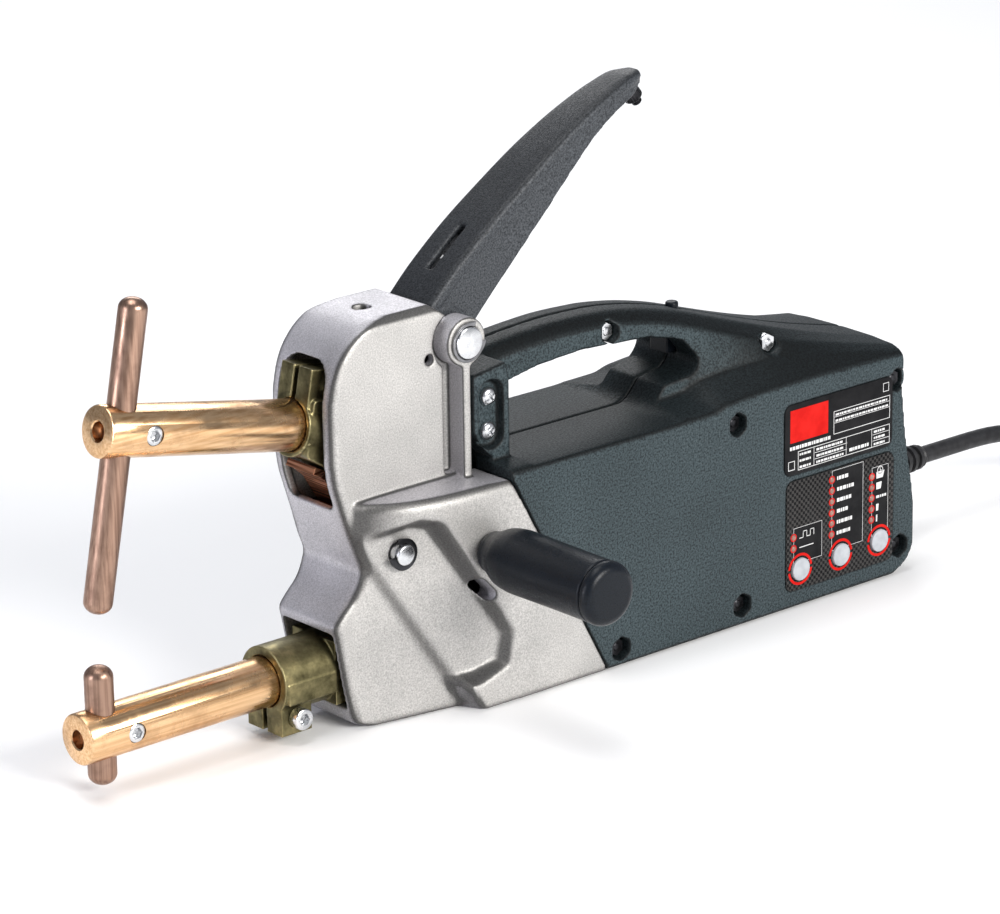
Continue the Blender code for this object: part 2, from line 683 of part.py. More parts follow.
def make_lower_holder(look):
    front, back = -53.0, -19.0
    block = box("lower_arm_holder", (-26, -14, 11.5), (22, 14, 39.5), look["brass"])
    ring = rod("lower_holder_ring", (front, 0, LOWER_ARM_Z), (1, 0, 0), back - front, 15.0, count=28)
    lugs = box("lower_holder_lugs", (front + 0.2, -11.5, 3.6), (-37, 11.5, 18))
    join(block, ring, lugs)
    slit = box("lower_holder_slit", (-60, -1.3, 0), (-30, 1.3, LOWER_ARM_Z))
    depth = 60 + LOWER_ARM_BACK + GAP
    bore = rod("lower_holder_bore", (-60, 0, LOWER_ARM_Z), (1, 0, 0), depth, ARM_RADIUS + GAP, count=28)
    screw_way = rod("lower_holder_screw_way", (-45, -20, 11.0), (0, 1, 0), 40, 3.0 + GAP, count=12)
    return merge_flat(cut(block, slit, bore, screw_way))


def make_arms(look):
    upper_length = ARM_BACK - ARM_FRONT
    upper_hole = UPPER_ELECTRODE_ALONG - ARM_FRONT
    upper_start = arm_point(ARM_FRONT, ARM_HEIGHT)
    upper = make_arm("upper_arm", look, upper_start, ARM_REARWARD, upper_length, upper_hole, ARM_UPWARD)
    lower_length = LOWER_ARM_BACK - LOWER_ARM_FRONT
    lower_hole = LOWER_ELECTRODE_X - LOWER_ARM_FRONT
    lower_start = (LOWER_ARM_FRONT, 0, LOWER_ARM_Z)
    make_arm("lower_arm", look, lower_start, (1, 0, 0), lower_length, lower_hole, (0, 0, 1))
    low, high = UPPER_ELECTRODE_SPAN
    upper_tip = make_electrode("upper_electrode", look, arm_point(UPPER_ELECTRODE_ALONG, low), ARM_UPWARD,
                               high - low)
    low, high = LOWER_ELECTRODE_SPAN
    make_electrode("lower_electrode", look, (LOWER_ELECTRODE_X, 0, low), (0, 0, 1), high - low)
    screw_x, _, screw_z = arm_point(UPPER_ELECTRODE_ALONG + SET_SCREW_BACK, ARM_HEIGHT)
    upper_screw = make_set_screw("upper_set_screw", look, (screw_x, -ARM_RADIUS + 0.2, screw_z), 9.5)
    lower_spot = (LOWER_ELECTRODE_X + SET_SCREW_BACK, -ARM_RADIUS + 0.2, LOWER_ARM_Z)
    make_set_screw("lower_set_screw", look, lower_spot, 9.5)
    return upper, upper_tip, upper_screw


# ---------------------------------------------------------------- lever and linkage
LEVER_TOP = ((27.6, 171.2), (38, 181.4), (50, 191.5), (63, 201.4), (77, 211.0), (99, 225.4), (121, 237.6),
             (137, 244.6), (149, 248.6), (156.5, 249.0))
LEVER_DEPTH = ((0, 27), (2, 24.6), (4, 20.5), (5, 16.2), (6, 11.6), (7, 9.6), (8, 9.0), (9, 6.0))
LEVER_HALF = ((0, 14.0), (2, 14.0), (4, 13.4), (5, 12.4), (6, 10.8), (7, 9.6), (8, 7.8), (9, 4.4))


def lever_section(place, skin):
    """Section of the lever square to its back; place counts along LEVER_TOP, skin lies inwards."""
    index = min(int(place), len(LEVER_TOP) - 2)
    start = Vector(LEVER_TOP[index]).lerp(Vector(LEVER_TOP[index + 1]), place - index)
    before = Vector(LEVER_TOP[max(math.ceil(place) - 1, 0)])
    after = Vector(LEVER_TOP[min(int(place) + 1, len(LEVER_TOP) - 1)])
    forward = (after - before).normalized()
    down = Vector((forward.y, -forward.x))
    half = along_line(LEVER_HALF, place) - skin
    depth = along_line(LEVER_DEPTH, place)
    top = skin * 1.1
    bottom = depth + (4.0 if skin else 0.0)
    curve = min(2.5, depth * 0.3)
    section = ((-half, bottom), (-half, top + curve), (-half + 0.8, top + curve * 0.3), (-half + 2.6, top),
               (half - 2.6, top), (half - 0.8, top + curve * 0.3), (half, top + curve), (half, bottom))
    ring = []
    for y, fall in section:
        spot = start + down * fall
        ring.append((spot.x, y, spot.y))
    return ring


def link_pin_on_lever():
    swing = math.radians(LEVER_TRAVEL / 2)
    return (LEVER_PIVOT[0] + LINK_CRANK * math.sin(swing), LEVER_PIVOT[2] - LINK_CRANK * math.cos(swing))


def link_pin_on_holder():
    swing = math.radians(LEVER_TRAVEL * ARM_RATIO / 2)
    return (ARM_PIVOT[0] + LINK_REACH * math.sin(swing), ARM_PIVOT[2] + LINK_REACH * math.cos(swing))


def make_lever(look):
    stations = range(len(LEVER_TOP))
    lever = loft("lever", [lever_section(place, 0.0) for place in stations], look["black"], 35)
    hollow = loft("lever_hollow", [lever_section(place + 0.45, 2.8) for place in stations[:-2]])
    px, _, pz = LEVER_PIVOT
    cheek = rod("lever_knuckle", (px, -13.8, pz), (0, 1, 0), 27.6, 12.0, count=28)
    pin_x, pin_z = link_pin_on_lever()
    crank_outline = ((px - 11.5, pz + 4), (px - 9, pz - 9), (pin_x - 6.2, pin_z - 3),
                     (pin_x - 3, pin_z - 6.2),
                     (pin_x + 4, pin_z - 5.2), (pin_x + 6.2, pin_z), (px + 11.5, pz + 2))
    crank = prism("lever_crank", crank_outline, "Y", -12.4, 12.4)
    middle = box("lever_middle_way", (18, -5.0, 130), (58, 5.0, 156.0))
    cut(lever, hollow)
    corners = ((24.6, -16.0), (27.0, -16.0), (27.0, -1.5), (24.6, -1.5))
    wall = loft("lever_screw_wall", [[screw_point(d, drop, y) for d, drop in corners] for y in (-12.2, 12.2)])
    join(lever, cheek, crank, wall)
    pin_way = rod("lever_pin_way", (px, -20, pz), (0, 1, 0), 40, LEVER_PIN_RADIUS + GAP, count=24)
    link_way = rod("lever_link_pin_way", (pin_x, -20, pin_z), (0, 1, 0), 40, LINK_PIN_RADIUS + GAP,
                   count=14)
    slot = loft("lever_slot", lever_slot_rings(2.0, -6.0, 6.0))
    axis = adjuster_direction()
    adjuster_way = rod("lever_adjuster_way", adjuster_point(-2.0), axis, 11.2, 2.5 + GAP, count=12)
    adjuster_room = rod("lever_adjuster_room", adjuster_point(-9.0), axis, 13.0, 5.0, count=14)
    along, _ = slot_frame()
    screw_way = rod("lever_screw_way", screw_point(23.0), (along.x, 0, along.y), 6, 2.5 + GAP, count=12)
    return merge_flat(cut(lever, middle, pin_way, link_way, slot, adjuster_way, adjuster_room, screw_way))


SLOT_START = Vector((40.6, 183.6))
SLOT_END = Vector((59.6, 198.9))


def slot_frame():
    along = (SLOT_END - SLOT_START).normalized()
    return along, Vector((-along.y, along.x))


def lever_slot_rings(half, below, above):
    """The window in the lever's back, along which the force pointer moves."""
    along, up = slot_frame()
    rings = []
    for level in (below, above):
        ring = []
        for corner, y in ((SLOT_START, -half), (SLOT_END, -half), (SLOT_END, half), (SLOT_START, half)):
            spot = corner + up * level
            ring.append((spot.x, y, spot.y))
        rings.append(ring)
    return rings


SCREW_DROP = -9.0  # force screw axis below the bottom of the slot


def screw_point(distance, drop=SCREW_DROP, y=0.0):
    """A point at a distance along the slot from its start, and square to the lever's back."""
    along, up = slot_frame()
    spot = SLOT_START + along * distance + up * drop
    return (spot.x, y, spot.y)


def adjuster_direction():
    turn = math.radians(LEVER_TRAVEL)
    return (-math.sin(turn), 0.0, math.cos(turn))


def adjuster_point(lift):
    return tuple(Vector(ADJUSTER_REST) + Vector(adjuster_direction()) * lift)


def make_pins(look):
    """Pins of the two pivots and the clips that keep them."""
    across = (0, 1, 0)
    half = BOSS_FACE + 2.2
    start = (LEVER_PIVOT[0], -half, LEVER_PIVOT[2])
    rod("lever_pin", start, across, 2 * half, LEVER_PIN_RADIUS, look["steel"], 24, 0.6)
    half = ARM_PIN_HALF
    start = (ARM_PIVOT[0], -half, ARM_PIVOT[2])
    radius, neck = ARM_PIN_RADIUS, 3.4
    end = [(0, radius - 0.6), (0.6, radius), (1.3, radius), (1.3, neck), (2.6, neck), (2.6, radius)]
    other_end = [(2 * half - along, size) for along, size in reversed(end)]
    turned("arm_pin", end + other_end, start, across, look["steel"], 16)
    for sign, side in ((-1, "left"), (1, "right")):
        make_clip("lever_pin_clip_" + side, look["spring"], LEVER_PIVOT, sign * (BOSS_FACE + 0.9),
                  LEVER_PIN_RADIUS + GAP, 8.6, 30)
        make_clip("arm_pin_clip_" + side, look["black"], ARM_PIVOT, sign * (half - 1.95), neck + GAP, 7.4,
                  150)


def make_clip(name, surface, centre, y, inner, outer, facing):
    """A flat retaining clip: most of a ring, open on the side it faces."""
    opening = 34
    count = 13
    sweep = 360 - 2 * opening
    turns = [math.radians(facing + opening + sweep * k / count) for k in range(count + 1)]
    outline = [(centre[0] + outer * math.cos(t), centre[2] + outer * math.sin(t)) for t in turns]
    outline += [(centre[0] + inner * math.cos(t), centre[2] + inner * math.sin(t)) for t in reversed(turns)]
    return prism(name, outline, "Y", y - 0.5, y + 0.5, surface)


def make_clamp_screws(look):
    """Screws that pinch the split clamps on the arms."""
    x, _, z = arm_point(*UPPER_SCREW)
    across = (0, 1, 0)
    upper = make_socket_screw("upper_clamp_screw", look, (x, -LUG_HALF - GAP, z), across, 19.0, 3.0, 4.2,
                              3.2)
    make_socket_screw("lower_clamp_screw", look, (-45, -11.5 - GAP, 11.0), across, 22.5, 3.0, 4.6, 5.0)
    return upper


def make_link(look):
    """The push link between the crank of the lever and the fork of the arm holder."""
    lever_x, lever_z = link_pin_on_lever()
    arm_x, arm_z = link_pin_on_holder()
    across = (0, 1, 0)
    link = rod("push_link", (arm_x, -4.0, arm_z), across, 8.0, 6.2, look["brass"], 16)
    eye = rod("push_link_eye", (lever_x, -4.0, lever_z), across, 8.0, 7.4, count=18)
    run = Vector((lever_x - arm_x, lever_z - arm_z)).normalized()
    side = Vector((-run.y, run.x)) * 4.0
    start = Vector((arm_x, arm_z)) + run * 2
    end = Vector((lever_x, lever_z)) - run * 2
    outline = [tuple(start + side), tuple(start - side), tuple(end - side), tuple(end + side)]
    join(link, eye, prism("push_link_bar", outline, "Y", -3.8, 3.8))
    arm_way = rod("push_link_arm_way", (arm_x, -9, arm_z), across, 18, LINK_PIN_RADIUS + GAP, count=12)
    lever_way = rod("push_link_lever_way", (lever_x, -9, lever_z), across, 18, LINK_PIN_RADIUS + 1.4,
                    count=14)
    merge_flat(cut(link, arm_way, lever_way))
    arm_pin = rod("link_pin_arm", (arm_x, -11.0, arm_z), across, 22.0, LINK_PIN_RADIUS, look["steel"], 12)
    lever_pin = rod("link_pin_lever", (lever_x, -12.2, lever_z), across, 24.4, LINK_PIN_RADIUS,
                    look["steel"], 12)
    return link, arm_pin, lever_pin


def make_force_parts(look):
    """The screw, pointer nut and spring that set the electrode force, inside the lever."""
    along, _ = slot_frame()
    direction = (along.x, 0.0, along.y)
    base = screw_point(-7.0)
    head = FORCE_SCREW_HEAD + 7.0
    profile = [(0, 2.0), (0.6, 2.5), (head, 2.5), (head, 4.4), (head + 1, 5.0), (head + 5.5, 5.0),
               (head + 6.5, 4.4)]
    screw = turned("force_screw", profile, base, direction, look["steel"], 14)
    cut(screw, turned("force_screw_socket", [(head + 3.5, 2.4), (head + 9, 2.4)], base, direction, count=6))
    nut = turned("force_pointer", [(0, 5.2), (5.0, 5.2)], screw_point(POINTER_REST - 2.5), direction,
                 look["white"], 12)
    rings = []
    for drop in (SCREW_DROP + 3.0, -2.4):
        corners = ((-0.9, -1.7), (0.9, -1.7), (0.9, 1.7), (-0.9, 1.7))
        rings.append([screw_point(POINTER_REST + distance, drop, y) for distance, y in corners])
    join(nut, loft("force_pointer_tab", rings))
    cut(nut, rod("force_pointer_way", screw_point(POINTER_REST - 8), direction, 16, 2.5 + GAP, count=12))
    spring_foot = Vector(screw_point(17.2))
    spring = make_spring("force_spring", look["spring"], spring_foot, Vector(direction), 6.8, 3.8, 0.7, 4)
    return screw, nut, spring


def make_spring(name, surface, base, direction, length, radius, wire, turns):
    """A coil spring: a five-sided wire along a helix."""
    frame = direction.to_track_quat("Z", "Y").to_matrix()
    rings = []
    count = turns * 9
    for k in range(count + 1):
        turn = 2 * math.pi * k / 9
        rise = wire + (length - 2 * wire) * k / count
        ring = []
        for side in range(5):
            swing = 2 * math.pi * side / 5
            reach = radius + wire * math.cos(swing)
            spot = Vector((reach * math.cos(turn), reach * math.sin(turn), rise + wire * math.sin(swing)))
            ring.append(tuple(base + frame @ spot))
        rings.append(ring)
    return loft(name, rings, surface, 60)


def make_start_parts(look):
    """The adjuster under the lever's tip, and the start button and switch it presses when closed."""
    profile = [(-6.5, 2.3), (-3.4, 2.3), (-3.4, 3.7), (-2.9, 4.2), (3.0, 4.2), (3.5, 3.7), (3.5, 2.5),
               (8.5, 2.5)]
    adjuster = turned("start_adjuster", profile, ADJUSTER_REST, adjuster_direction(), look["black"], 16)
    x, z = START_BUTTON
    button = turned("start_button", [(-10.0, 2.9), (-0.8, 2.9), (0, 2.1)], (x, 0, z), (0, 0, 1),
                    look["black"], 14)
    box("start_switch", (x - 8, -5.4, z - 21.0), (x + 8, 5.4, z - 12.6), look["black"])
    return adjuster, button


# ---------------------------------------------------------------- current path
def make_transformer(look):
    """A shell-type transformer: core, primary winding and the one-turn copper secondary."""
    core = box("transformer_core", (106.0, -33.0, 17.0), (192.0, 33.0, 84.0), look["core"])
    for sign, side in ((-1, "left"), (1, "right")):
        low, high = sorted((sign * 10.0, sign * 23.0))
        cut(core, box("core_window_" + side, (90, low, 27.0), (210, high, 74.0)))
    merge_flat(core)
    outline = rounded(((95, -22.4), (203, -22.4), (203, 22.4), (95, 22.4)), 6, 3)
    winding = prism("primary_winding", outline, "Z", 28.0, 58.0, look["winding"])
    outline = ((105.4, -10.6), (192.6, -10.6), (192.6, 10.6), (105.4, 10.6))
    cut(winding, prism("primary_winding_middle", outline, "Z", 20, 70))
    outline = ((26, -21.8), (212, -21.8), (212, 21.8), (34, 21.8), (34, -6.0), (44, -6.0), (44, 11.4),
               (201, 11.4), (201, -11.4), (26, -11.4))
    turn = prism("secondary_turn", outline, "Z", 62.0, 71.5, look["copper"])
    join(turn, box("secondary_foot", (22.3, -21.5, 14.0), (30.3, -12.0, 71.0)))
    merge_flat(turn)


def make_shunt(look):
    """The laminated copper strap from the secondary turn, round the pivot, to the arm holder."""
    path = []
    for along, height in ((-37.0, 31.8), (-33.0, 30.6), (-26.5, 26.8), (-15.6, 15.0), (-12.0, 6.5)):
        x, _, z = arm_point(along, height)
        path.append((x, z))
    path += [(-10.1, 78.5), (-9.6, 72.5), (-8.4, 67.4), (-4.6, 62.6), (2.0, 59.9), (12.0, 59.6),
             (42.0, 59.6)]
    make_strap("flexible_shunt", path, 3.2, -9.0, 9.0, look["copper"])


def make_strap(name, path, thickness, y_low, y_high, surface):
    """A strip that follows a path in the XZ plane."""
    outer = []
    inner = []
    last = len(path) - 1
    for index, spot in enumerate(path):
        before = Vector(path[max(index - 1, 0)])
        after = Vector(path[min(index + 1, last)])
        along = (after - before).normalized()
        square = Vector((-along.y, along.x)) * thickness / 2
        outer.append(tuple(Vector(spot) + square))
        inner.append(tuple(Vector(spot) - square))
    return prism(name, outer + inner[::-1], "Y", y_low, y_high, surface)


# ---------------------------------------------------------------- side grip
def make_grip(look):
    """The side grip, its end cap and the threaded stud that holds it in the casting."""
    length = -BODY_HALF - GAP - GRIP_END
    base = (GRIP_X, -BODY_HALF - GAP, GRIP_Z)
    outward = (0, -1, 0)
    radius = GRIP_RADIUS
    profile = [(0, 8.6), (2.5, 9.0), (11.0, 12.6), (14.0, radius - 0.4), (18.0, radius),
               (length - 6.5, radius - 0.3), (length - 6.0, radius - 0.7)]
    grip = turned("side_grip", profile, base, outward, look["black"], 24)
    stud_start = (GRIP_X, -BODY_HALF + 2, GRIP_Z)
    cut(grip, rod("side_grip_stud_way", stud_start, outward, 32, GRIP_STUD_RADIUS + GAP, count=12))
    profile = [(length - 5.7, radius - 0.6), (length - 5.2, radius - 0.2), (length - 3.6, radius - 0.4),
               (length - 1.6, radius - 3.2), (length - 0.4, radius - 8), (length, 0)]
    turned("side_grip_cap", profile, base, outward, look["black"], 24)
    rod("side_grip_stud", (GRIP_X, -BODY_HALF + 7.5, GRIP_Z), outward, 36.0, GRIP_STUD_RADIUS,
        look["steel"], 12, 0.5)


# ---------------------------------------------------------------- control panel
def make_panel(look):
    """The rating plate, the membrane panel with its buttons and light guides, and the board."""
    face, seat = -BODY_HALF - 0.1, -BODY_HALF + 0.7
    (x0, z0), (x1, z1) = PLATE_BOX
    outline = rounded(((x0, z0), (x1, z0), (x1, z1), (x0, z1)), 3.5, 3)
    prism("rating_plate", outline, "Y", face, seat, look["black"])
    (x0, z0), (x1, z1) = PANEL_BOX
    outline = rounded(((x0, z0), (x1, z0), (x1, z1), (x0, z1)), 4.0, 3)
    panel = prism("control_panel", outline, "Y", face, seat, look["black"])
    for index, (x, z) in enumerate(BUTTON_PLACES):
        way = rod(f"control_panel_button_way_{index}", (x, -50, z), (0, 1, 0), 20, BUTTON_RADIUS + 0.4,
                  count=16)
        cut(panel, way)
    merge_flat(panel)
    buttons = []
    profile = [(0, BUTTON_RADIUS), (5.6, BUTTON_RADIUS), (6.6, BUTTON_RADIUS - 0.6), (7.2, 3.0), (7.5, 0)]
    for name, (x, z) in zip(BUTTON_NAMES, BUTTON_PLACES):
        start = (x, -BODY_HALF + 5.6, z)
        buttons.append(turned(name, profile, start, (0, -1, 0), look["grey"], 16))
    back, front = -BODY_HALF + 5.2, -BODY_HALF + 1.0
    guide = box("light_guide", (211.0, back - 1.4, 26.2), (266.0, back, 57.4), look["red"])
    for index, (x, low, high) in enumerate(GUIDE_PLACES):
        bar = box(f"light_guide_bar_{index}", (x - 1.7, front, low - 1.7),
                  (x + 1.7, back - 0.7, high + 1.7))
        join(guide, bar)
    merge_flat(guide)
    box("control_board", (207.0, -33.2, 11.0), (272.0, -31.6, 84.0), look["green"])
    return buttons


# ---------------------------------------------------------------- fasteners
def make_shell_screws(look):
    """Screws through both shells, each with its head on the right and a hexagon nut on the left."""
    places = [(x, z, BODY_HALF - 7) for x, z in SCREW_PLACES]
    places += [(x, z, half - 6.5) for x, z, half in HANDLE_SCREW_PLACES]
    for index, (x, z, seat) in enumerate(places):
        name = f"shell_screw_{index + 1}"
        length = 2 * seat + 4.2
        profile = [(-2.4, 2.0), (-1.9, 3.1), (-0.7, 3.6), (0, 3.6), (0, SCREW_RADIUS),
                   (length, SCREW_RADIUS)]
        screw = turned(name, profile, (x, seat + GAP, z), (0, -1, 0), look["steel"], 10)
        nut = prism(name + "_nut", circle((x, z), 4.0, 6, math.pi / 6), "Y", -seat - 3.2 - GAP, -seat - GAP)
        join(screw, nut)


def make_flange_screws(look):
    """Pan-head screws that hold the casting's neck between the handle flanges."""
    head = 4.0
    profile = [(-2.4, 2.2), (-1.9, head * 0.86), (-0.7, head), (0, head), (0, SCREW_RADIUS),
               (5, SCREW_RADIUS)]
    for sign, side in ((-1, "left"), (1, "right")):
        for number, (x, z) in enumerate(FLANGE_SCREW_PLACES):
            place_at = (x, sign * (BOSS_FACE - 4 + GAP), z)
            turned(f"flange_screw_{side}_{number + 1}", profile, place_at, (0, -sign, 0), look["steel"], 12)


# ---------------------------------------------------------------- power cable
CABLE_ROUTE = (
    (336.0, 0.0, 34.0), (348.0, 0.0, 34.0), (362.0, 0.0, 34.0), (376.0, 0.2, 33.7), (390.0, 0.8, 32.3),
    (403.0, 1.8, 29.0), (415.5, 3.2, 24.0), (428.0, 4.9, 18.2), (441.0, 6.9, 12.6), (454.0, 9.2, 8.3),
    (468.0, 11.6, 5.6), (482.0, 13.6, 4.5), (496.0, 15.0, 4.2), (509.0, 15.6, 4.2), (520.0, 15.7, 4.2),
)
COIL_CENTRE = (520.0, -44.6)
COIL_MEAN = 44.0  # radius of the middle turn of the coil
COIL_BASE = 1.5
PLUG_BACK = (486.5, -96.6, 19.3)  # where the cable enters the sleeve of the plug


def make_tube(name, route, radius, surface):
    """A cable along a route, as a bevelled curve with closed ends."""
    curve = bpy.data.curves.new(name, "CURVE")
    curve.dimensions = "3D"
    curve.bevel_depth = radius * MM
    curve.bevel_resolution = 2
    curve.use_fill_caps = True
    curve.resolution_u = 1
    curve.render_resolution_u = 0
    spline = curve.splines.new("POLY")
    spline.points.add(len(route) - 1)
    for point, spot in zip(spline.points, route):
        point.co = (*(Vector(spot) * MM), 1.0)
    thing = bpy.data.objects.new(name, curve)
    bpy.context.scene.collection.objects.link(thing)
    curve.materials.append(surface)
    return thing


def make_coil(look):
    """The ring that the stored cable fills: three turns wide and two high, held by a tie."""
    reach = 3 * CABLE_RADIUS
    low, high = COIL_BASE, COIL_BASE + 4 * CABLE_RADIUS + 0.2
    count = 28
    inner, outer = COIL_MEAN - reach, COIL_MEAN + reach
    rings = []
    for k in range(count):
        turn = 2 * math.pi * k / count
        section = ((inner, low + 1), (inner + 1, low), (outer - 1, low), (outer, low + 1),
                   (outer, high - 1), (outer - 1, high), (inner + 1, high), (inner, high - 1))
        across, along = math.cos(turn), math.sin(turn)
        rings.append([(COIL_CENTRE[0] + r * across, COIL_CENTRE[1] + r * along, z) for r, z in section])
    points = [point for ring in rings for point in ring]
    faces = []
    for ring in range(count):
        for side in range(8):
            here, after = ring * 8, (ring + 1) % count * 8
            faces.append((here + side, here + (side + 1) % 8, after + (side + 1) % 8, after + side))
    solid("cable_coil", points, faces, look["rubber"], 40)

    tie_at = (COIL_CENTRE[0] + COIL_MEAN, COIL_CENTRE[1])
    half, top = reach + 0.5, high + 0.5
    outline = ((-half - 1.2, 0.05), (half + 1.2, 0.05), (half + 1.2, top + 1.2), (-half - 1.2, top + 1.2))
    tie = prism("cable_tie", [(tie_at[0] + u, z) for u, z in outline], "Y", tie_at[1] - 4, tie_at[1] + 4,
                look["black"])
    inside = box("cable_tie_way", (tie_at[0] - half, -90, 1.2), (tie_at[0] + half, 10, top))
    cut(tie, inside)


def make_plug(look):
    """A round two-pin plug with a tapered sleeve, lying on its side beside the coil."""
    forward = (-1, 0, 0)
    profile = [(0, 4.9), (3, 5.2), (26, 6.6), (27, 11.5), (33, 15.0), (45, 17.4), (56, 18.8), (66, 18.8),
               (68, 18.0)]
    plug = turned("mains_plug", profile, PLUG_BACK, forward, look["rubber"], 20)
    for sign, side in ((-1, "lower"), (1, "upper")):
        start = (PLUG_BACK[0] - 67, PLUG_BACK[1] + sign * 9.5, PLUG_BACK[2])
        join(plug, rod("mains_plug_pin_" + side, start, forward, 20, 2.4, look["steel"], 10, 0.6))
    merge_flat(plug)


def make_cable(look):
    profile = [(0, 11.0), (3.0, 11.0), (3.0, 7.6), (11.2, 7.6), (11.2, 10.5), (17.0, 10.5), (18.5, 7.8),
               (26.0, 7.2), (53.8, 5.6), (55.8, 5.0)]
    turned("cable_gland", profile, (GLAND_X, 0, CABLE_Z), (1, 0, 0), look["rubber"], 16)
    make_tube("power_cable", CABLE_ROUTE, CABLE_RADIUS, look["rubber"])
    make_coil(look)
    make_plug(look)


# ---------------------------------------------------------------- scene start
def clear_scene():
    for thing in list(bpy.data.objects):
        bpy.data.objects.remove(thing, do_unlink=True)


def main():
    clear_scene()
    look = make_materials()
    make_front_casting(look)
    make_shell("body_shell_left", look, -1)
    make_shell("body_shell_right", look, 1)
    link_x, link_z = link_pin_on_holder()
    arm, electrode, set_screw = make_arms(look)
    holder = make_upper_holder(look)
    make_lower_holder(look)
    lever = make_lever(look)
    make_pins(look)
    clamp_screw = make_clamp_screws(look)
    link, arm_link_pin, lever_link_pin = make_link(look)
    force_screw, pointer, spring = make_force_parts(look)
    adjuster, start_button = make_start_parts(look)
    make_transformer(look)
    make_shunt(look)
    make_grip(look)
    buttons = make_panel(look)
    make_shell_screws(look)
    make_flange_screws(look)
    make_cable(look)

    hang("lever_joint", LEVER_PIVOT, lever, lever_link_pin, spring)
    hang("arm_joint", ARM_PIVOT, holder, arm, electrode, set_screw, clamp_screw, arm_link_pin)
    hang("link_joint", (link_x, 0, link_z), link)
    hang("force_screw_joint", screw_point(0), force_screw)
    hang("pointer_joint", screw_point(POINTER_REST), pointer)
    hang("adjuster_joint", ADJUSTER_REST, adjuster)
    hang("start_button_joint", (START_BUTTON[0], 0, START_BUTTON[1]), start_button)
    for button, (x, z) in zip(buttons, BUTTON_PLACES):
        hang(button.name + "_joint", (x, -BODY_HALF, z), button)


main()
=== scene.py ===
"""The looks of a hand-held spot welding gun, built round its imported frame.

Shape functions take millimetres in the frame of the model: -X is the front, +Z is up, and the
middle plane is Y = 0. A mesh is turned into metres when it is made.
"""
import json
import math

import bmesh
import bpy
from mathutils import Matrix, Vector

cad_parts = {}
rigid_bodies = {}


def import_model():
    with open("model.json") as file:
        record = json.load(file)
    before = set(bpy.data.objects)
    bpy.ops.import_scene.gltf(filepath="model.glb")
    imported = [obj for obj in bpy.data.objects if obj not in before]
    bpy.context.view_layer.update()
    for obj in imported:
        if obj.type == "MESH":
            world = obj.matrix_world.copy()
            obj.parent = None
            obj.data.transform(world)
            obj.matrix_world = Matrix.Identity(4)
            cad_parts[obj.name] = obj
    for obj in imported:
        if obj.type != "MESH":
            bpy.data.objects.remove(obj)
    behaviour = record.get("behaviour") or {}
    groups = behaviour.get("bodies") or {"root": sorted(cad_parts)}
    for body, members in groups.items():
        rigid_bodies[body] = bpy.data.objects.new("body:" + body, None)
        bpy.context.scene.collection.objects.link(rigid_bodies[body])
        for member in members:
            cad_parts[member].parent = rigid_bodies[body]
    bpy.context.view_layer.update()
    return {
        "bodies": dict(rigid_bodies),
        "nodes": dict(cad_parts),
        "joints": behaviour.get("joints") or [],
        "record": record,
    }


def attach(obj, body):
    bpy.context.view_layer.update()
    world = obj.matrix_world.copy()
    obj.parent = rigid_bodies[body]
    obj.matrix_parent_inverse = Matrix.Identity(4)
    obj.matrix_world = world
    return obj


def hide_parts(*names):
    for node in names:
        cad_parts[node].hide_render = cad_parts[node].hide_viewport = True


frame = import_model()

MM = 0.001
GAP = 0.3  # clearance between two touching pieces
SPLIT = 0.15  # half of the joint between the two body shells

# Driving dimensions
ARM_PIVOT = (0.0, 0.0, 75.4)
LEVER_PIVOT = (38.3, 0.0, 158.0)
LEVER_TRAVEL = 39.0  # degrees from open to closed
ARM_RATIO = 0.22  # turn of the upper arm for each degree of the lever
ARM_TILT = math.radians(11.1)
ARM_HEIGHT = 49.4  # upper arm axis above its pivot, square to the arm
ARM_RADIUS = 10.8
ARM_BORE = 4.0
ARM_FRONT = -143.5  # front face of the upper arm, along the arm from the pivot
ARM_BACK = -15.0
LOWER_ARM_Z = 25.5
LOWER_ARM_FRONT = -147.7
LOWER_ARM_BACK = -16.0
ELECTRODE_RADIUS = 6.0
UPPER_ELECTRODE_ALONG = -133.1
UPPER_ELECTRODE_SPAN = (-25.4, 103.6)  # tip and top, square to the arm from the pivot
LOWER_ELECTRODE_X = -136.0
LOWER_ELECTRODE_SPAN = (3.4, 54.5)
SET_SCREW_BACK = 10.4  # set screw behind its electrode

NECK_HALF = 20.0  # half width of the upper part of the casting
BODY_HALF = 40.0  # half width of the body
BOSS_FACE = 26.0  # face of the lever pin bosses and of the handle flange
LEDGE_Z = 98.4
TOP_Z = 175.0
WALL = 4.0
JOINT_X = 50.0  # joint between casting and shells at ledge height
JOINT_SLOPE = 0.54  # how far the joint runs back for each millimetre down
NECK_BACK = 40.5

BODY_LENGTH_END = 291.0
PANEL_TOP = 102.5
SHELL_WALL = 3.2

LEVER_PIN_RADIUS = 6.85
ARM_PIN_RADIUS = 4.5
ARM_PIN_HALF = 30.6
LINK_PIN_RADIUS = 3.0
LINK_CRANK = 16.0  # lever pivot to link pin
LINK_REACH = 72.7  # arm pivot to link pin

GRIP_X = 38.0
GRIP_Z = 70.5
GRIP_END = -114.0
GRIP_RADIUS = 13.8
GRIP_STUD_RADIUS = 3.7

CABLE_RADIUS = 4.0
CABLE_Z = 34.0

GLAND_X = 279.8  # inner face of the cable gland

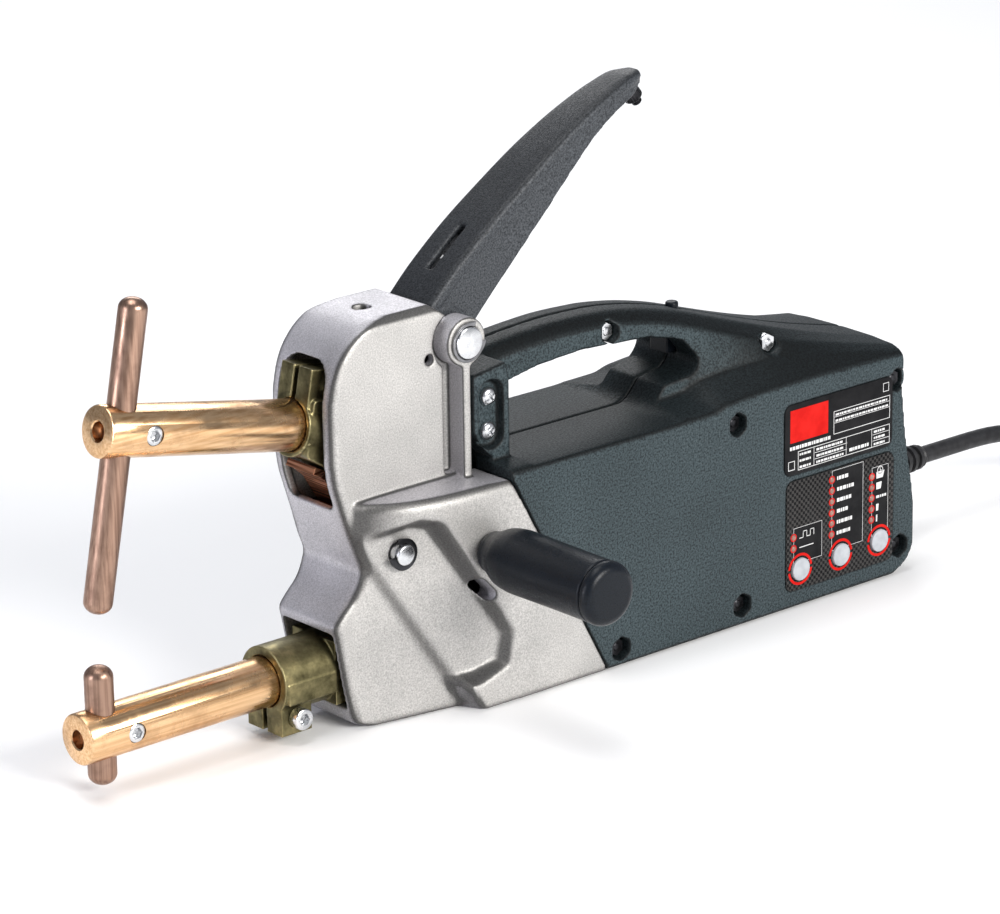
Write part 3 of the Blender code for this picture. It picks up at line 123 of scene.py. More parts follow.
BUTTON_NAMES = ("mode_button", "thickness_button", "time_button")
BUTTON_PLACES = ((218.0, 18.0), (243.2, 18.6), (267.6, 19.4))
BUTTON_RADIUS = 5.2
GUIDE_PLACES = ((213.8, 28.3, 33.5), (237.5, 29.3, 55.0), (262.7, 30.2, 50.5))  # x, lowest, highest light
SCREW_RADIUS = 2.0
SCREW_PLACES = ((180.0, 93.5), (110.8, 8.0), (183.0, 9.5), (281.0, 13.5), (278.5, 92.5))
HANDLE_SCREW_PLACES = ((128.5, 140.5, 14.6), (214.7, 119.5, 25.5))
FLANGE_SCREW_PLACES = ((52.0, 131.0), (51.6, 116.0))
ADJUSTER_REST = (154.0, 0.0, 239.0)  # middle of the knurled adjuster under the lever's tip
START_BUTTON = (178.0, 141.4)


# ---------------------------------------------------------------- materials
def fresh_material(name, roughness, metallic=0.0, **sockets):
    """A new material; sockets are the shader's own, with _ for each space."""
    made = bpy.data.materials.new(name)
    made.use_nodes = True
    shader = made.node_tree.nodes["Principled BSDF"]
    shader.inputs["Roughness"].default_value = roughness
    shader.inputs["Metallic"].default_value = metallic
    for label, value in sockets.items():
        shader.inputs[label.replace("_", " ")].default_value = value
    return made, made.node_tree, shader


def add_noise(tree, scale, detail=2.0, stretch=(1, 1, 1), roughness=0.5):
    """Noise in the piece's own space, in metres; stretch squeezes it along an axis."""
    place = tree.nodes.new("ShaderNodeTexCoord")
    mapping = tree.nodes.new("ShaderNodeMapping")
    mapping.inputs["Scale"].default_value = stretch
    tree.links.new(place.outputs["Object"], mapping.inputs["Vector"])
    texture = tree.nodes.new("ShaderNodeTexNoise")
    texture.inputs["Scale"].default_value = scale
    texture.inputs["Detail"].default_value = detail
    texture.inputs["Roughness"].default_value = roughness
    tree.links.new(mapping.outputs["Vector"], texture.inputs["Vector"])
    return texture.outputs["Fac"]


def add_ramp(tree, source, stops):
    """A colour ramp through (place, colour) stops; a colour may be one grey value."""
    ramp = tree.nodes.new("ShaderNodeValToRGB")
    while len(ramp.color_ramp.elements) < len(stops):
        ramp.color_ramp.elements.new(0.5)
    for element, (place, colour) in zip(ramp.color_ramp.elements, stops):
        element.position = place
        element.color = (*colour, 1.0) if hasattr(colour, "__len__") else (colour, colour, colour, 1.0)
    tree.links.new(source, ramp.inputs["Fac"])
    return ramp.outputs["Color"]


def add_mix(tree, share, first, second, kind="MIX"):
    """Mixes two colours; share, first and second are sockets or plain values."""
    mix = tree.nodes.new("ShaderNodeMix")
    mix.data_type = "RGBA"
    mix.blend_type = kind
    for socket, value in ((mix.inputs[0], share), (mix.inputs[6], first), (mix.inputs[7], second)):
        if isinstance(value, bpy.types.NodeSocket):
            tree.links.new(value, socket)
        else:
            socket.default_value = (*value, 1.0) if hasattr(value, "__len__") else value
    return mix.outputs[2]


def add_bump(tree, shader, height, distance, strength=1.0, below=None):
    bump = tree.nodes.new("ShaderNodeBump")
    bump.inputs["Distance"].default_value = distance
    bump.inputs["Strength"].default_value = strength
    tree.links.new(height, bump.inputs["Height"])
    if below is not None:
        tree.links.new(below, bump.inputs["Normal"])
    tree.links.new(bump.outputs["Normal"], shader.inputs["Normal"])
    return bump.outputs["Normal"]


def add_edge_share(tree, low, high):
    """1 along sharp outer edges and 0 elsewhere, from the mesh's own shape."""
    geometry = tree.nodes.new("ShaderNodeNewGeometry")
    return add_ramp(tree, geometry.outputs["Pointiness"], ((low, 0.0), (high, 1.0)))


def add_painted_side_shade(tree, colour, stops):
    """Painted shade: multiplies a colour by a ramp on how far the surface turns sideways, 0 facing along
    the object and 1 square to it, so faces are darkened or lightened by their direction.
    """
    geometry = tree.nodes.new("ShaderNodeNewGeometry")
    parts = tree.nodes.new("ShaderNodeSeparateXYZ")
    size = tree.nodes.new("ShaderNodeMath")
    size.operation = "ABSOLUTE"
    tree.links.new(geometry.outputs["Normal"], parts.inputs["Vector"])
    tree.links.new(parts.outputs["Y"], size.inputs[0])
    return add_mix(tree, 1.0, colour, add_ramp(tree, size.outputs[0], stops), "MULTIPLY")


def make_cast_metal():
    """Sand-cast housing: pale silver with a fine grain and a cloudy tone, with painted shade on slopes and
    fillets and a painted cool tint on faces that look along X or Z.
    """
    made, tree, shader = fresh_material("cast_metal", 0.5, 0.6)
    cloud = add_noise(tree, 34.0, 3.0)
    tone = add_ramp(tree, cloud, ((0.30, (0.46, 0.45, 0.435)), (0.70, (0.58, 0.565, 0.545))))
    speck = add_noise(tree, 1500.0, 2.0)
    grain = add_ramp(tree, speck, ((0.30, 0.72), (0.52, 0.96), (0.72, 1.18)))
    grained = add_mix(tree, 1.0, tone, grain, "MULTIPLY")
    # Painted shade and light by facing direction: faces turned part way to the side are darkened hard, and
    # faces that look along X or Z get a painted cool tint.
    ends, painted_slope_shade = (1.0, 1.0, 1.09), (0.16, 0.16, 0.165)
    stops = ((0.0, ends), (0.16, (0.84, 0.84, 0.92)), (0.42, painted_slope_shade), (0.74, (0.24, 0.24, 0.24)),
             (0.94, 0.84), (0.99, 1.0))
    tree.links.new(add_painted_side_shade(tree, grained, stops), shader.inputs["Base Color"])
    rough = add_ramp(tree, speck, ((0.3, 0.56), (0.7, 0.40)))
    tree.links.new(rough, shader.inputs["Roughness"])
    coarse = add_bump(tree, shader, add_noise(tree, 260.0, 3.0), 0.00012, 0.5)
    add_bump(tree, shader, speck, 0.00009, 0.75, coarse)
    return made


# Painted shade by facing direction for the moulded plastics: the shell's tops, ledges and slopes are
# darkened against its flanks, and the lever's flanks are lightened against its back; the plain ramp paints
# nothing.
PLAIN_SIDES = ((0.0, 1.0), (1.0, 1.0))
SHELL_SIDE_SHADE = ((0.0, 0.36), (0.35, 0.26), (0.70, 0.10), (0.90, 0.30), (0.985, 1.0))
LEVER_SIDE_SHADE = ((0.0, 0.55), (0.60, 0.50), (0.95, 1.15))


def make_moulded_plastic(name, dark, light, roughness, grain, height, side_shade=PLAIN_SIDES, shine=0.3):
    """Moulded plastic with a spark-eroded texture; grain is its frequency and height its depth, and the
    side ramp paints shade by the way the surface faces.
    """
    made, tree, shader = fresh_material(name, roughness, Specular_IOR_Level=shine)
    speck = add_noise(tree, grain, 3.0, roughness=0.6)
    cloud = add_noise(tree, 22.0, 2.0)
    tone = add_ramp(tree, speck, ((0.36, dark), (0.62, light)))
    shade = add_ramp(tree, cloud, ((0.3, 0.86), (0.7, 1.08)))
    toned = add_mix(tree, 1.0, tone, shade, "MULTIPLY")
    # Painted shade by facing direction on the toned plastic.
    tree.links.new(add_painted_side_shade(tree, toned, side_shade), shader.inputs["Base Color"])
    rough = add_ramp(tree, speck, ((0.35, roughness + 0.09), (0.65, roughness - 0.07)))
    tree.links.new(rough, shader.inputs["Roughness"])
    add_bump(tree, shader, speck, height, 0.9)
    return made


def make_drawn_copper(name, pale, deep, oxide, along, shine=0.16):
    """Drawn copper alloy: streaks along the bar, thumb-worn tarnish and a soft shine."""
    made, tree, shader = fresh_material(name, 0.25, 1.0)
    squeeze = tuple(0.02 if axis == along else 1.0 for axis in "XYZ")
    streak = add_noise(tree, 900.0, 3.0, squeeze)
    tarnish = add_noise(tree, 60.0, 4.0, roughness=0.62)
    base = add_ramp(tree, streak, ((0.30, deep), (0.62, pale)))
    share = add_ramp(tree, tarnish, ((0.50, 0.0), (0.72, 0.45)))
    tree.links.new(add_mix(tree, share, base, oxide), shader.inputs["Base Color"])
    rough = add_ramp(tree, tarnish, ((0.35, shine), (0.70, shine + 0.20)))
    tree.links.new(rough, shader.inputs["Roughness"])
    add_bump(tree, shader, streak, 0.00003, 0.5)
    return made


def make_cast_brass():
    """Cast clamp alloy: olive brass, dark in the pits and brighter on rubbed edges."""
    made, tree, shader = fresh_material("cast_brass", 0.42, 1.0)
    blotch = add_noise(tree, 90.0, 4.0, roughness=0.65)
    base = add_ramp(tree, blotch, ((0.32, (0.055, 0.048, 0.022)), (0.52, (0.16, 0.14, 0.07)),
                                   (0.70, (0.32, 0.27, 0.13))))
    edge = add_edge_share(tree, 0.52, 0.58)
    tree.links.new(add_mix(tree, edge, base, (0.52, 0.45, 0.24)), shader.inputs["Base Color"])
    rough = add_ramp(tree, blotch, ((0.3, 0.52), (0.7, 0.34)))
    tree.links.new(rough, shader.inputs["Roughness"])
    add_bump(tree, shader, add_noise(tree, 700.0, 3.0), 0.00010, 0.6)
    return made


def make_plated_steel(name, dark, light, roughness):
    """Plated or blackened steel with faint turning marks and handling wear."""
    made, tree, shader = fresh_material(name, roughness, 1.0)
    cloud = add_noise(tree, 160.0, 3.0)
    tree.links.new(add_ramp(tree, cloud, ((0.32, dark), (0.66, light))), shader.inputs["Base Color"])
    rough = add_ramp(tree, cloud, ((0.3, roughness + 0.1), (0.7, max(roughness - 0.06, 0.08))))
    tree.links.new(rough, shader.inputs["Roughness"])
    add_bump(tree, shader, add_noise(tree, 2600.0, 2.0), 0.00002, 0.5)
    return made


def make_soft_surface(name, dark, light, roughness, shine=0.5, grain=900.0, height=0.00003):
    """Rubber, printed film, paint and other smooth surfaces with a little unevenness."""
    made, tree, shader = fresh_material(name, roughness, Specular_IOR_Level=shine)
    cloud = add_noise(tree, grain / 6, 3.0)
    tree.links.new(add_ramp(tree, cloud, ((0.35, dark), (0.65, light))), shader.inputs["Base Color"])
    rough = add_ramp(tree, cloud, ((0.3, min(roughness + 0.08, 1.0)), (0.7, max(roughness - 0.06, 0.05))))
    tree.links.new(rough, shader.inputs["Roughness"])
    add_bump(tree, shader, add_noise(tree, grain, 2.0), height, 0.6)
    return made


def make_woven_film():
    """Dark printed film with a small woven pattern of two greys."""
    made, tree, shader = fresh_material("woven_film", 0.34, Specular_IOR_Level=0.12)
    place = tree.nodes.new("ShaderNodeTexCoord")
    mapping = tree.nodes.new("ShaderNodeMapping")
    mapping.inputs["Rotation"].default_value = (math.radians(90), 0, 0)
    tree.links.new(place.outputs["Object"], mapping.inputs["Vector"])
    check = tree.nodes.new("ShaderNodeTexChecker")
    check.inputs["Scale"].default_value = 720.0
    check.inputs["Color1"].default_value = (0.0025, 0.0025, 0.003, 1)
    check.inputs["Color2"].default_value = (0.045, 0.043, 0.042, 1)
    tree.links.new(mapping.outputs["Vector"], check.inputs["Vector"])
    fine = add_ramp(tree, add_noise(tree, 3000.0, 2.0), ((0.3, 0.7), (0.7, 1.25)))
    tree.links.new(add_mix(tree, 1.0, check.outputs["Color"], fine, "MULTIPLY"),
                   shader.inputs["Base Color"])
    add_bump(tree, shader, check.outputs["Fac"], 0.00004, 0.4)
    return made


def make_laminated_copper():
    """A stack of thin copper strips, seen as fine lines on its edges."""
    made, tree, shader = fresh_material("laminated_copper", 0.36, 1.0)
    layers = add_noise(tree, 900.0, 1.0, (0.25, 0.02, 1.0))
    base = add_ramp(tree, layers, ((0.40, (0.20, 0.07, 0.035)), (0.55, (0.72, 0.34, 0.20))))
    tree.links.new(base, shader.inputs["Base Color"])
    add_bump(tree, shader, layers, 0.00015, 0.8)
    return made


def make_looks():
    return {
        "cast": make_cast_metal(),
        # The shell and lever finishes carry painted shade by the way their faces turn.
        "shell": make_moulded_plastic("slate_plastic", (0.010, 0.016, 0.019), (0.056, 0.078, 0.086), 0.50,
                                      1100.0, 0.00022,
                                      SHELL_SIDE_SHADE, 0.20),
        "lever": make_moulded_plastic("lever_plastic", (0.012, 0.014, 0.017), (0.062, 0.068, 0.076), 0.46,
                                      1300.0, 0.00014,
                                      LEVER_SIDE_SHADE, 0.30),
        "black": make_moulded_plastic("black_plastic", (0.002, 0.003, 0.005), (0.007, 0.010, 0.015), 0.34,
                                      1500.0, 0.00006,
                                      PLAIN_SIDES, 0.20),
        "arm": make_drawn_copper("arm_copper", (0.90, 0.60, 0.34), (0.66, 0.38, 0.18), (0.26, 0.13, 0.06),
                                 "X", 0.16),
        "electrode": make_drawn_copper("electrode_copper", (0.42, 0.27, 0.20), (0.24, 0.145, 0.105),
                                       (0.10, 0.055, 0.04), "Z", 0.30),
        "brass": make_cast_brass(),
        "steel": make_plated_steel("zinc_steel", (0.55, 0.56, 0.58), (0.80, 0.81, 0.82), 0.24),
        "dark_steel": make_plated_steel("black_steel", (0.015, 0.015, 0.017), (0.06, 0.06, 0.065), 0.34),
        "spring": make_plated_steel("spring_steel", (0.14, 0.14, 0.15), (0.30, 0.30, 0.31), 0.30),
        "film": make_woven_film(),
        "plate": make_soft_surface("plate_black", (0.007, 0.007, 0.008), (0.013, 0.013, 0.014), 0.36,
                                   shine=0.08),
        "ink": make_soft_surface("white_ink", (0.62, 0.62, 0.62), (0.78, 0.78, 0.78), 0.45),
        "red": make_soft_surface("red_ink", (0.50, 0.006, 0.004), (0.62, 0.012, 0.008), 0.40, shine=0.08),
        "lamp": make_soft_surface("lamp_lens", (0.20, 0.10, 0.08), (0.34, 0.20, 0.16), 0.22),
        "button": make_soft_surface("button_grey", (0.36, 0.38, 0.41), (0.45, 0.47, 0.50), 0.36,
                                    grain=1500.0),
        "rubber": make_soft_surface("cable_rubber", (0.006, 0.006, 0.007), (0.018, 0.018, 0.020), 0.48,
                                    grain=1600.0, height=0.00006),
        "white": make_soft_surface("white_plastic", (0.66, 0.66, 0.64), (0.80, 0.80, 0.78), 0.42),
        "core": make_plated_steel("core_steel", (0.10, 0.10, 0.11), (0.22, 0.22, 0.23), 0.48),
        "winding": make_drawn_copper("enamelled_wire", (0.55, 0.22, 0.09), (0.40, 0.14, 0.05),
                                     (0.22, 0.08, 0.03), "X"),
        "shunt": make_laminated_copper(),
        "board": make_soft_surface("circuit_board", (0.015, 0.10, 0.045), (0.03, 0.17, 0.075), 0.42),
    }


# ---------------------------------------------------------------- camera, floor and lights
def stand(name, data):
    """A new object in the scene that shows the data."""
    thing = bpy.data.objects.new(name, data)
    bpy.context.scene.collection.objects.link(thing)
    return thing


def add_camera():
    """The camera looks from the front left, a little above the welder."""
    data = bpy.data.cameras.new("camera")
    data.lens = 165.6
    data.sensor_width = 36.0
    data.clip_end = 20.0
    camera = stand("camera", data)
    right = Vector((0.75285, -0.65805, -0.01384))
    up = Vector((0.2186, 0.23014, 0.94829))
    back = Vector((-0.62084, -0.71694, 0.31711))
    turn = Matrix((right, up, back)).transposed().to_4x4()
    camera.matrix_world = Matrix.Translation(Vector((-1.13654, -1.40234, 0.71308))) @ turn
    bpy.context.scene.camera = camera


FLOOR_REACH = 6.0  # metres from the object to the floor's edges
FLOOR_DROP = 0.0002
LIT_POINT = (0.05, 0.0, 0.09)  # the middle of the object, in metres


def add_floor():
    """Pale paper under and all round the object."""
    made, tree, shader = fresh_material("floor_paper", 0.8)
    cloud = add_noise(tree, 3.0, 2.0)
    tree.links.new(add_ramp(tree, cloud, ((0.3, 0.96), (0.7, 0.98))), shader.inputs["Base Color"])
    corners = [(x * FLOOR_REACH, y * FLOOR_REACH, 0) for x, y in ((-1, -1), (1, -1), (1, 1), (-1, 1))]
    mesh = bpy.data.meshes.new("floor")
    mesh.from_pydata(corners, [], [(0, 1, 2, 3)])
    mesh.materials.append(made)
    floor = stand("floor", mesh)
    floor.location.z = -FLOOR_DROP


def add_area_light(name, place, size, power, colour=(1, 1, 1)):
    """A soft box at a place, turned to the middle of the object."""
    data = bpy.data.lights.new(name, "AREA")
    data.shape = "RECTANGLE"
    data.size, data.size_y = size
    data.energy = power
    data.color = colour
    light = stand(name, data)
    light.location = place
    aim = Vector(LIT_POINT) - Vector(place)
    light.rotation_euler = aim.to_track_quat("-Z", "Y").to_euler()


def add_lights():
    """A big soft box on the visible side, one overhead, and weaker ones in front and behind."""
    scene = bpy.context.scene
    scene.view_settings.view_transform = "Standard"
    world = bpy.data.worlds.new("studio")
    scene.world = world
    world.use_nodes = True
    background = world.node_tree.nodes["Background"]
    background.inputs["Color"].default_value = (0.86, 0.90, 1.0, 1.0)
    background.inputs["Strength"].default_value = 0.30
    add_area_light("side", (0.25, -1.9, 0.95), (1.1, 0.6), 46.0, (1.0, 0.98, 0.95))
    add_area_light("overhead", (-0.1, 0.1, 2.0), (1.4, 0.9), 19.0)
    add_area_light("back", (1.0, 1.3, 1.0), (1.0, 0.5), 8.0)
    add_area_light("front", (-1.9, 0.25, 0.5), (0.3, 0.8), 14.0, (0.90, 0.91, 1.0))


# ---------------------------------------------------------------- mesh helpers
def solid(name, points, faces, smooth=None):
    """A closed mesh from points in millimetres, with its faces turned outwards."""
    mesh = bpy.data.meshes.new(name)
    mesh.from_pydata([tuple(value * MM for value in point) for point in points], [], faces)
    work = bmesh.new()
    work.from_mesh(mesh)
    bmesh.ops.recalc_face_normals(work, faces=work.faces)
    if work.calc_volume(signed=True) < 0:
        bmesh.ops.reverse_faces(work, faces=work.faces)
    bmesh.ops.triangulate(work, faces=work.faces)
    work.to_mesh(mesh)
    work.free()
    if smooth is not None:
        mesh.shade_smooth()
        mesh.set_sharp_from_angle(angle=math.radians(smooth))
    return stand(name, mesh)


def loft(name, rings, smooth=None):
    """A skin over equal rings of points, closed by a face on each end."""
    count = len(rings[0])
    points = [point for ring in rings for point in ring]
    faces = []
    for ring in range(len(rings) - 1):
        first = ring * count
        for step in range(count):
            after = (step + 1) % count
            faces.append((first + step, first + after, first + count + after, first + count + step))
    faces.append(tuple(range(count)))
    faces.append(tuple(range(len(points) - count, len(points))))
    return solid(name, points, faces, smooth)


AXIS_ORDER = {
    "X": lambda across, u, v: (across, u, v),
    "Y": lambda across, u, v: (u, across, v),
    "Z": lambda across, u, v: (u, v, across),
}


def prism(name, outline, axis, low, high):
    """An outline pushed out along an axis; its pairs are the other two axes in order."""
    order = AXIS_ORDER[axis]
    rings = [[order(level, u, v) for u, v in outline] for level in (low, high)]
    return loft(name, rings)


def box(name, low, high):
    """A block between its lowest and highest corners."""
    outline = ((low[0], low[1]), (high[0], low[1]), (high[0], high[1]), (low[0], high[1]))
    return prism(name, outline, "Z", low[2], high[2])


def rounded(corners, radius, steps=3):
    """The outline with each corner replaced by an arc; radius is one value or one a corner."""
    radii = radius if hasattr(radius, "__len__") else [radius] * len(corners)
    outline = []
    for index, corner in enumerate(corners):
        here = Vector(corner)
        before = (Vector(corners[index - 1]) - here).normalized()
        after = (Vector(corners[(index + 1) % len(corners)]) - here).normalized()
        if radii[index] <= 0:
            outline.append(tuple(here))
            continue
        half = before.angle(after) / 2
        centre = here + (before + after).normalized() * radii[index] / math.sin(half)
        start = here + before * radii[index] / math.tan(half) - centre
        end = here + after * radii[index] / math.tan(half) - centre
        turn = start.angle_signed(end)
        for step in range(steps + 1):
            swing = Matrix.Rotation(-turn * step / steps, 2)
            outline.append(tuple(centre + swing @ start))
    return outline


def circle(centre, radius, count, phase=0.0):
    """Points round a centre, the first at the angle phase."""
    turn = 2 * math.pi / count
    return [
        (centre[0] + radius * math.cos(turn * k + phase), centre[1] + radius * math.sin(turn * k + phase))
        for k in range(count)
    ]


def turned(name, profile, base, direction, count=20, smooth=40):
    """A profile of (distance along, radius) pairs spun about the line from base along direction."""
    frame = Vector(direction).normalized().to_track_quat("Z", "Y").to_matrix()
    start = Vector(base)
    points = []
    faces = []
    rows = []
    for along, radius in profile:
        if radius <= 0:
            rows.append([len(points)])
            points.append(start + frame @ Vector((0, 0, along)))
            continue
        rows.append(list(range(len(points), len(points) + count)))
        points += [start + frame @ Vector((x, y, along)) for x, y in circle((0, 0), radius, count)]
    for row, above in zip(rows, rows[1:]):
        for step in range(count):
            after = (step + 1) % count
            corners = [row[step % len(row)], row[after % len(row)], above[after % len(above)],
                       above[step % len(above)]]
            faces.append(tuple(dict.fromkeys(corners)))
    for row in (rows[0], rows[-1]):
        if len(row) > 1:
            faces.append(tuple(row))
    return solid(name, points, faces, smooth)


def rod(name, base, direction, length, radius, count=20):
    """A plain round bar."""
    return turned(name, [(0, radius), (length, radius)], base, direction, count)


def blend(low, high, value):
    """0 below low, 1 above high and a smooth rise between them."""
    share = min(max((value - low) / (high - low), 0.0), 1.0)
    return share * share * (3 - 2 * share)


# ---------------------------------------------------------------- joining, rounding and finishing
def settle(thing):
    """Replaces a thing's mesh by what its modifiers make of it."""
    bpy.context.view_layer.update()
    graph = bpy.context.evaluated_depsgraph_get()
    old = thing.data
    mesh = bpy.data.meshes.new_from_object(thing.evaluated_get(graph), depsgraph=graph)
    thing.modifiers.clear()
    thing.data = mesh
    bpy.data.meshes.remove(old)
    return thing


def combine(target, others, operation, crossing=False):
    """Exact Booleans, applied at once; the other solids are used up. crossing copes with crossing faces."""
    for other in others:
        change = target.modifiers.new("combine", "BOOLEAN")
        change.operation = operation
        change.solver = "EXACT"
        change.use_self = crossing
        change.object = other
    settle(target)
    for other in others:
        bpy.data.objects.remove(other, do_unlink=True)
    return target


def cut(target, *cutters):
    return combine(target, cutters, "DIFFERENCE")


def join(target, *others):
    return combine(target, others, "UNION")


SOFTNESS = {  # voxel size, smoothing passes and share of the faces that are kept
    "casting": (0.75, 6, 0.45), "shell": (0.8, 9, 0.45), "lever": (0.6, 10, 0.45), "clamp": (0.4, 4, 0.4),
}


def soften(thing, voxel, passes, keep):
    """Rounds every edge as a casting or moulding has it: an even mesh, smoothed, then thinned."""
    even = thing.modifiers.new("even", "REMESH")
    even.mode = "VOXEL"
    even.voxel_size = voxel * MM
    smooth = thing.modifiers.new("smooth", "SMOOTH")
    smooth.factor = 0.5
    smooth.iterations = passes
    thin = thing.modifiers.new("thin", "DECIMATE")
    thin.ratio = keep
    settle(thing)
    thing.data.shade_smooth()
    return thing


def add_bevel(thing, width, steps, angle):
    """A bevel in millimetres on every edge sharper than an angle in degrees."""
    bevel = thing.modifiers.new("eased_edges", "BEVEL")
    bevel.width = width * MM
    bevel.segments = steps
    bevel.limit_method = "ANGLE"
    bevel.angle_limit = math.radians(angle)


def ease_edges(thing, width, steps=2, angle=32):
    """Small rounded edges on a machined or moulded piece."""
    add_bevel(thing, width, steps, angle)
    settle(thing)
    thing.data.shade_smooth()
    thing.data.set_sharp_from_angle(angle=math.radians(36))
    return thing


def merge(name, things):
    """One mesh out of several separate ones, with nothing joined or cut."""
    work = bmesh.new()
    for thing in things:
        work.from_mesh(thing.data)
    work.to_mesh(things[0].data)
    work.free()
    for thing in things[1:]:
        bpy.data.objects.remove(thing, do_unlink=True)
    things[0].name = name
    return things[0]


def finish_piece(thing, look, body, slot, *nodes):
    """Gives a piece its finish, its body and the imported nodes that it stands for."""
    thing.data.materials.clear()
    thing.data.materials.append(look)
    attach(thing, body)
    if nodes:
        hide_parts(*nodes)
    return thing


WELD_REACH = 0.000005  # metres


def dress_node(name, look, width):
    """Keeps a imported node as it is, with welded and eased edges and a procedural finish."""
    thing = frame["nodes"][name]
    thing.data.materials.clear()
    thing.data.materials.append(look)
    weld = thing.modifiers.new("weld", "WELD")
    weld.merge_threshold = WELD_REACH
    if width:
        add_bevel(thing, width, 2, 35)


def smooth_table(table, value):
    """A smooth curve through a short table of (place, size) pairs, with no overshoot."""
    places = [place for place, _ in table]
    sizes = [size for _, size in table]
    if value <= places[0]:
        return sizes[0]
    if value >= places[-1]:
        return sizes[-1]
    slopes = [(b - a) / (q - p) for a, b, p, q in zip(sizes, sizes[1:], places, places[1:])]
    tangents = [slopes[0]]
    for before, after in zip(slopes, slopes[1:]):
        tangents.append(0.0 if before * after <= 0 else 2 * before * after / (before + after))
    tangents.append(slopes[-1])
    index = max(k for k in range(len(places) - 1) if places[k] <= value)
    span = places[index + 1] - places[index]
    t = (value - places[index]) / span
    start = sizes[index] * (1 + 2 * t) * (1 - t) ** 2 + tangents[index] * span * t * (1 - t) ** 2
    end = sizes[index + 1] * t * t * (3 - 2 * t) + tangents[index + 1] * span * t * t * (t - 1)
    return start + end


def spread(low, high, count):
    """Evenly spaced values from low to high."""
    return [low + (high - low) * k / (count - 1) for k in range(count)]


# ---------------------------------------------------------------- front casting
FRONT_LINE = (  # height, front face
    (0, -13), (3, -20), (10, -22.5), (44, -29.3), (47, -30), (52, -26.5), (58, -20.5), (64, -17),
    (69, -15.5), (76, -17.8), (90, -22.5), (101, -26), (109, -28.3), (120, -29.6), (140, -29.8),
    (150, -28.3), (158, -25.5), (165, -20.5), (170, -14.5), (173.5, -7), (175, 2),
)
CASTING_SAMPLES = 56  # points along each side of a section
POCKET_EDGE = ((-30, 82), (4, 88.5), (13, 86), (21, 74), (36, 51), (48.5, 31), (46, 18.5), (32, 14.2),
               (-30, 14))


def joint_line(z):
    return JOINT_X + (LEDGE_Z - z) * JOINT_SLOPE


def pocket_depth(x, z):
    """Signed distance to the edge of the pin pocket, positive inside it."""
    here = Vector((x, z))
    nearest = 1000.0
    inside = False
    for index, corner in enumerate(POCKET_EDGE):
        start = Vector(POCKET_EDGE[index - 1])
        edge = Vector(corner) - start
        share = min(max((here - start).dot(edge) / edge.length_squared, 0.0), 1.0)
        nearest = min(nearest, (here - start - edge * share).length)
        if (start.y > z) != (corner[1] > z) and x < start.x + edge.x * (z - start.y) / edge.y:
            inside = not inside
    return nearest if inside else -nearest


def step_distance(x, z):
    """Distance behind the diagonal step that runs down and back across the side."""
    top = Vector((-17.0, 77.0))
    foot = Vector((31.0, 2.0))
    along = (foot - top).normalized()
    square = Vector((-along.y, along.x))
    return (Vector((x, z)) - top).dot(square)


def side_width(x, z):
    """Half width of the lower casting: a flared front, a step, a pin pocket and an outer pad."""
    front = NECK_HALF + 0.17 * max(x + 20, 0)
    floor = 26.0 + 0.19 * x
    pad = NECK_HALF + (BODY_HALF - NECK_HALF) * (1 - math.exp(-max(x + 20, 0) / 17))
    side = pad + (min(floor, pad) - pad) * blend(-3.2, 3.2, pocket_depth(x, z))
    width = front + (side - front) * blend(-3.0, 3.0, step_distance(x, z))
    if z > LEDGE_Z:
        width += (NECK_HALF - width) * blend(LEDGE_Z, LEDGE_Z + 1.8, z)
    elif z > LEDGE_Z - 4:
        width -= 2.2 * ((z - LEDGE_Z + 4) / 4) ** 2 * blend(20.5, 26, width)
    return width


def back_line(z):
    if z <= LEDGE_Z:
        return joint_line(z)
    if z <= 160:
        return NECK_BACK
    return smooth_table(((160, NECK_BACK), (167, 35.5), (172, 29), (TOP_Z, 25)), z)


def casting_ring(z, samples):
    front = smooth_table(FRONT_LINE, z)
    back = back_line(z)
    edge = smooth_table(((0, 1.5), (3, 0), (171, 0), (TOP_Z, 3.5)), z)
    corner = 3.2
    side = [(front, side_width(front, z) - corner),
            (front + corner * 0.3, side_width(front, z) - corner * 0.3)]
    for step in range(samples + 1):
        x = front + corner + (back - front - corner) * step / samples
        side.append((x, side_width(x, z)))
    left = [(x, -(width - edge), z) for x, width in side]
    right = [(x, width - edge, z) for x, width in reversed(side)]
    return left + right


def cavity_ring(z):
    """The hollow of the casting, open at the back, follows the outside at wall thickness."""
    front = smooth_table(FRONT_LINE, z) + 4.2
    if z > LEDGE_Z - 7:
        spans = ((front, 15.5), (30, 15.5), (60, 15.5), (120, 15.5))
    else:
        spans = ((front, 16.0), (max(front + 10, 0), 20.5), (40, 27.5), (120, 36.0))
    left = [(x, -half, z) for x, half in spans]
    right = [(x, half, z) for x, half in reversed(spans)]
    return left + right


def casting_levels():
    """Heights of the casting's sections, closer together where its form turns."""
    return (spread(0, 9, 8) + spread(10.6, 92.6, 56) + spread(94, 101, 14) + spread(103, 148, 20)
            + spread(150, 175, 24))


GROOVE_DEPTH = 4.2  # of the groove beside the rib and round the boss


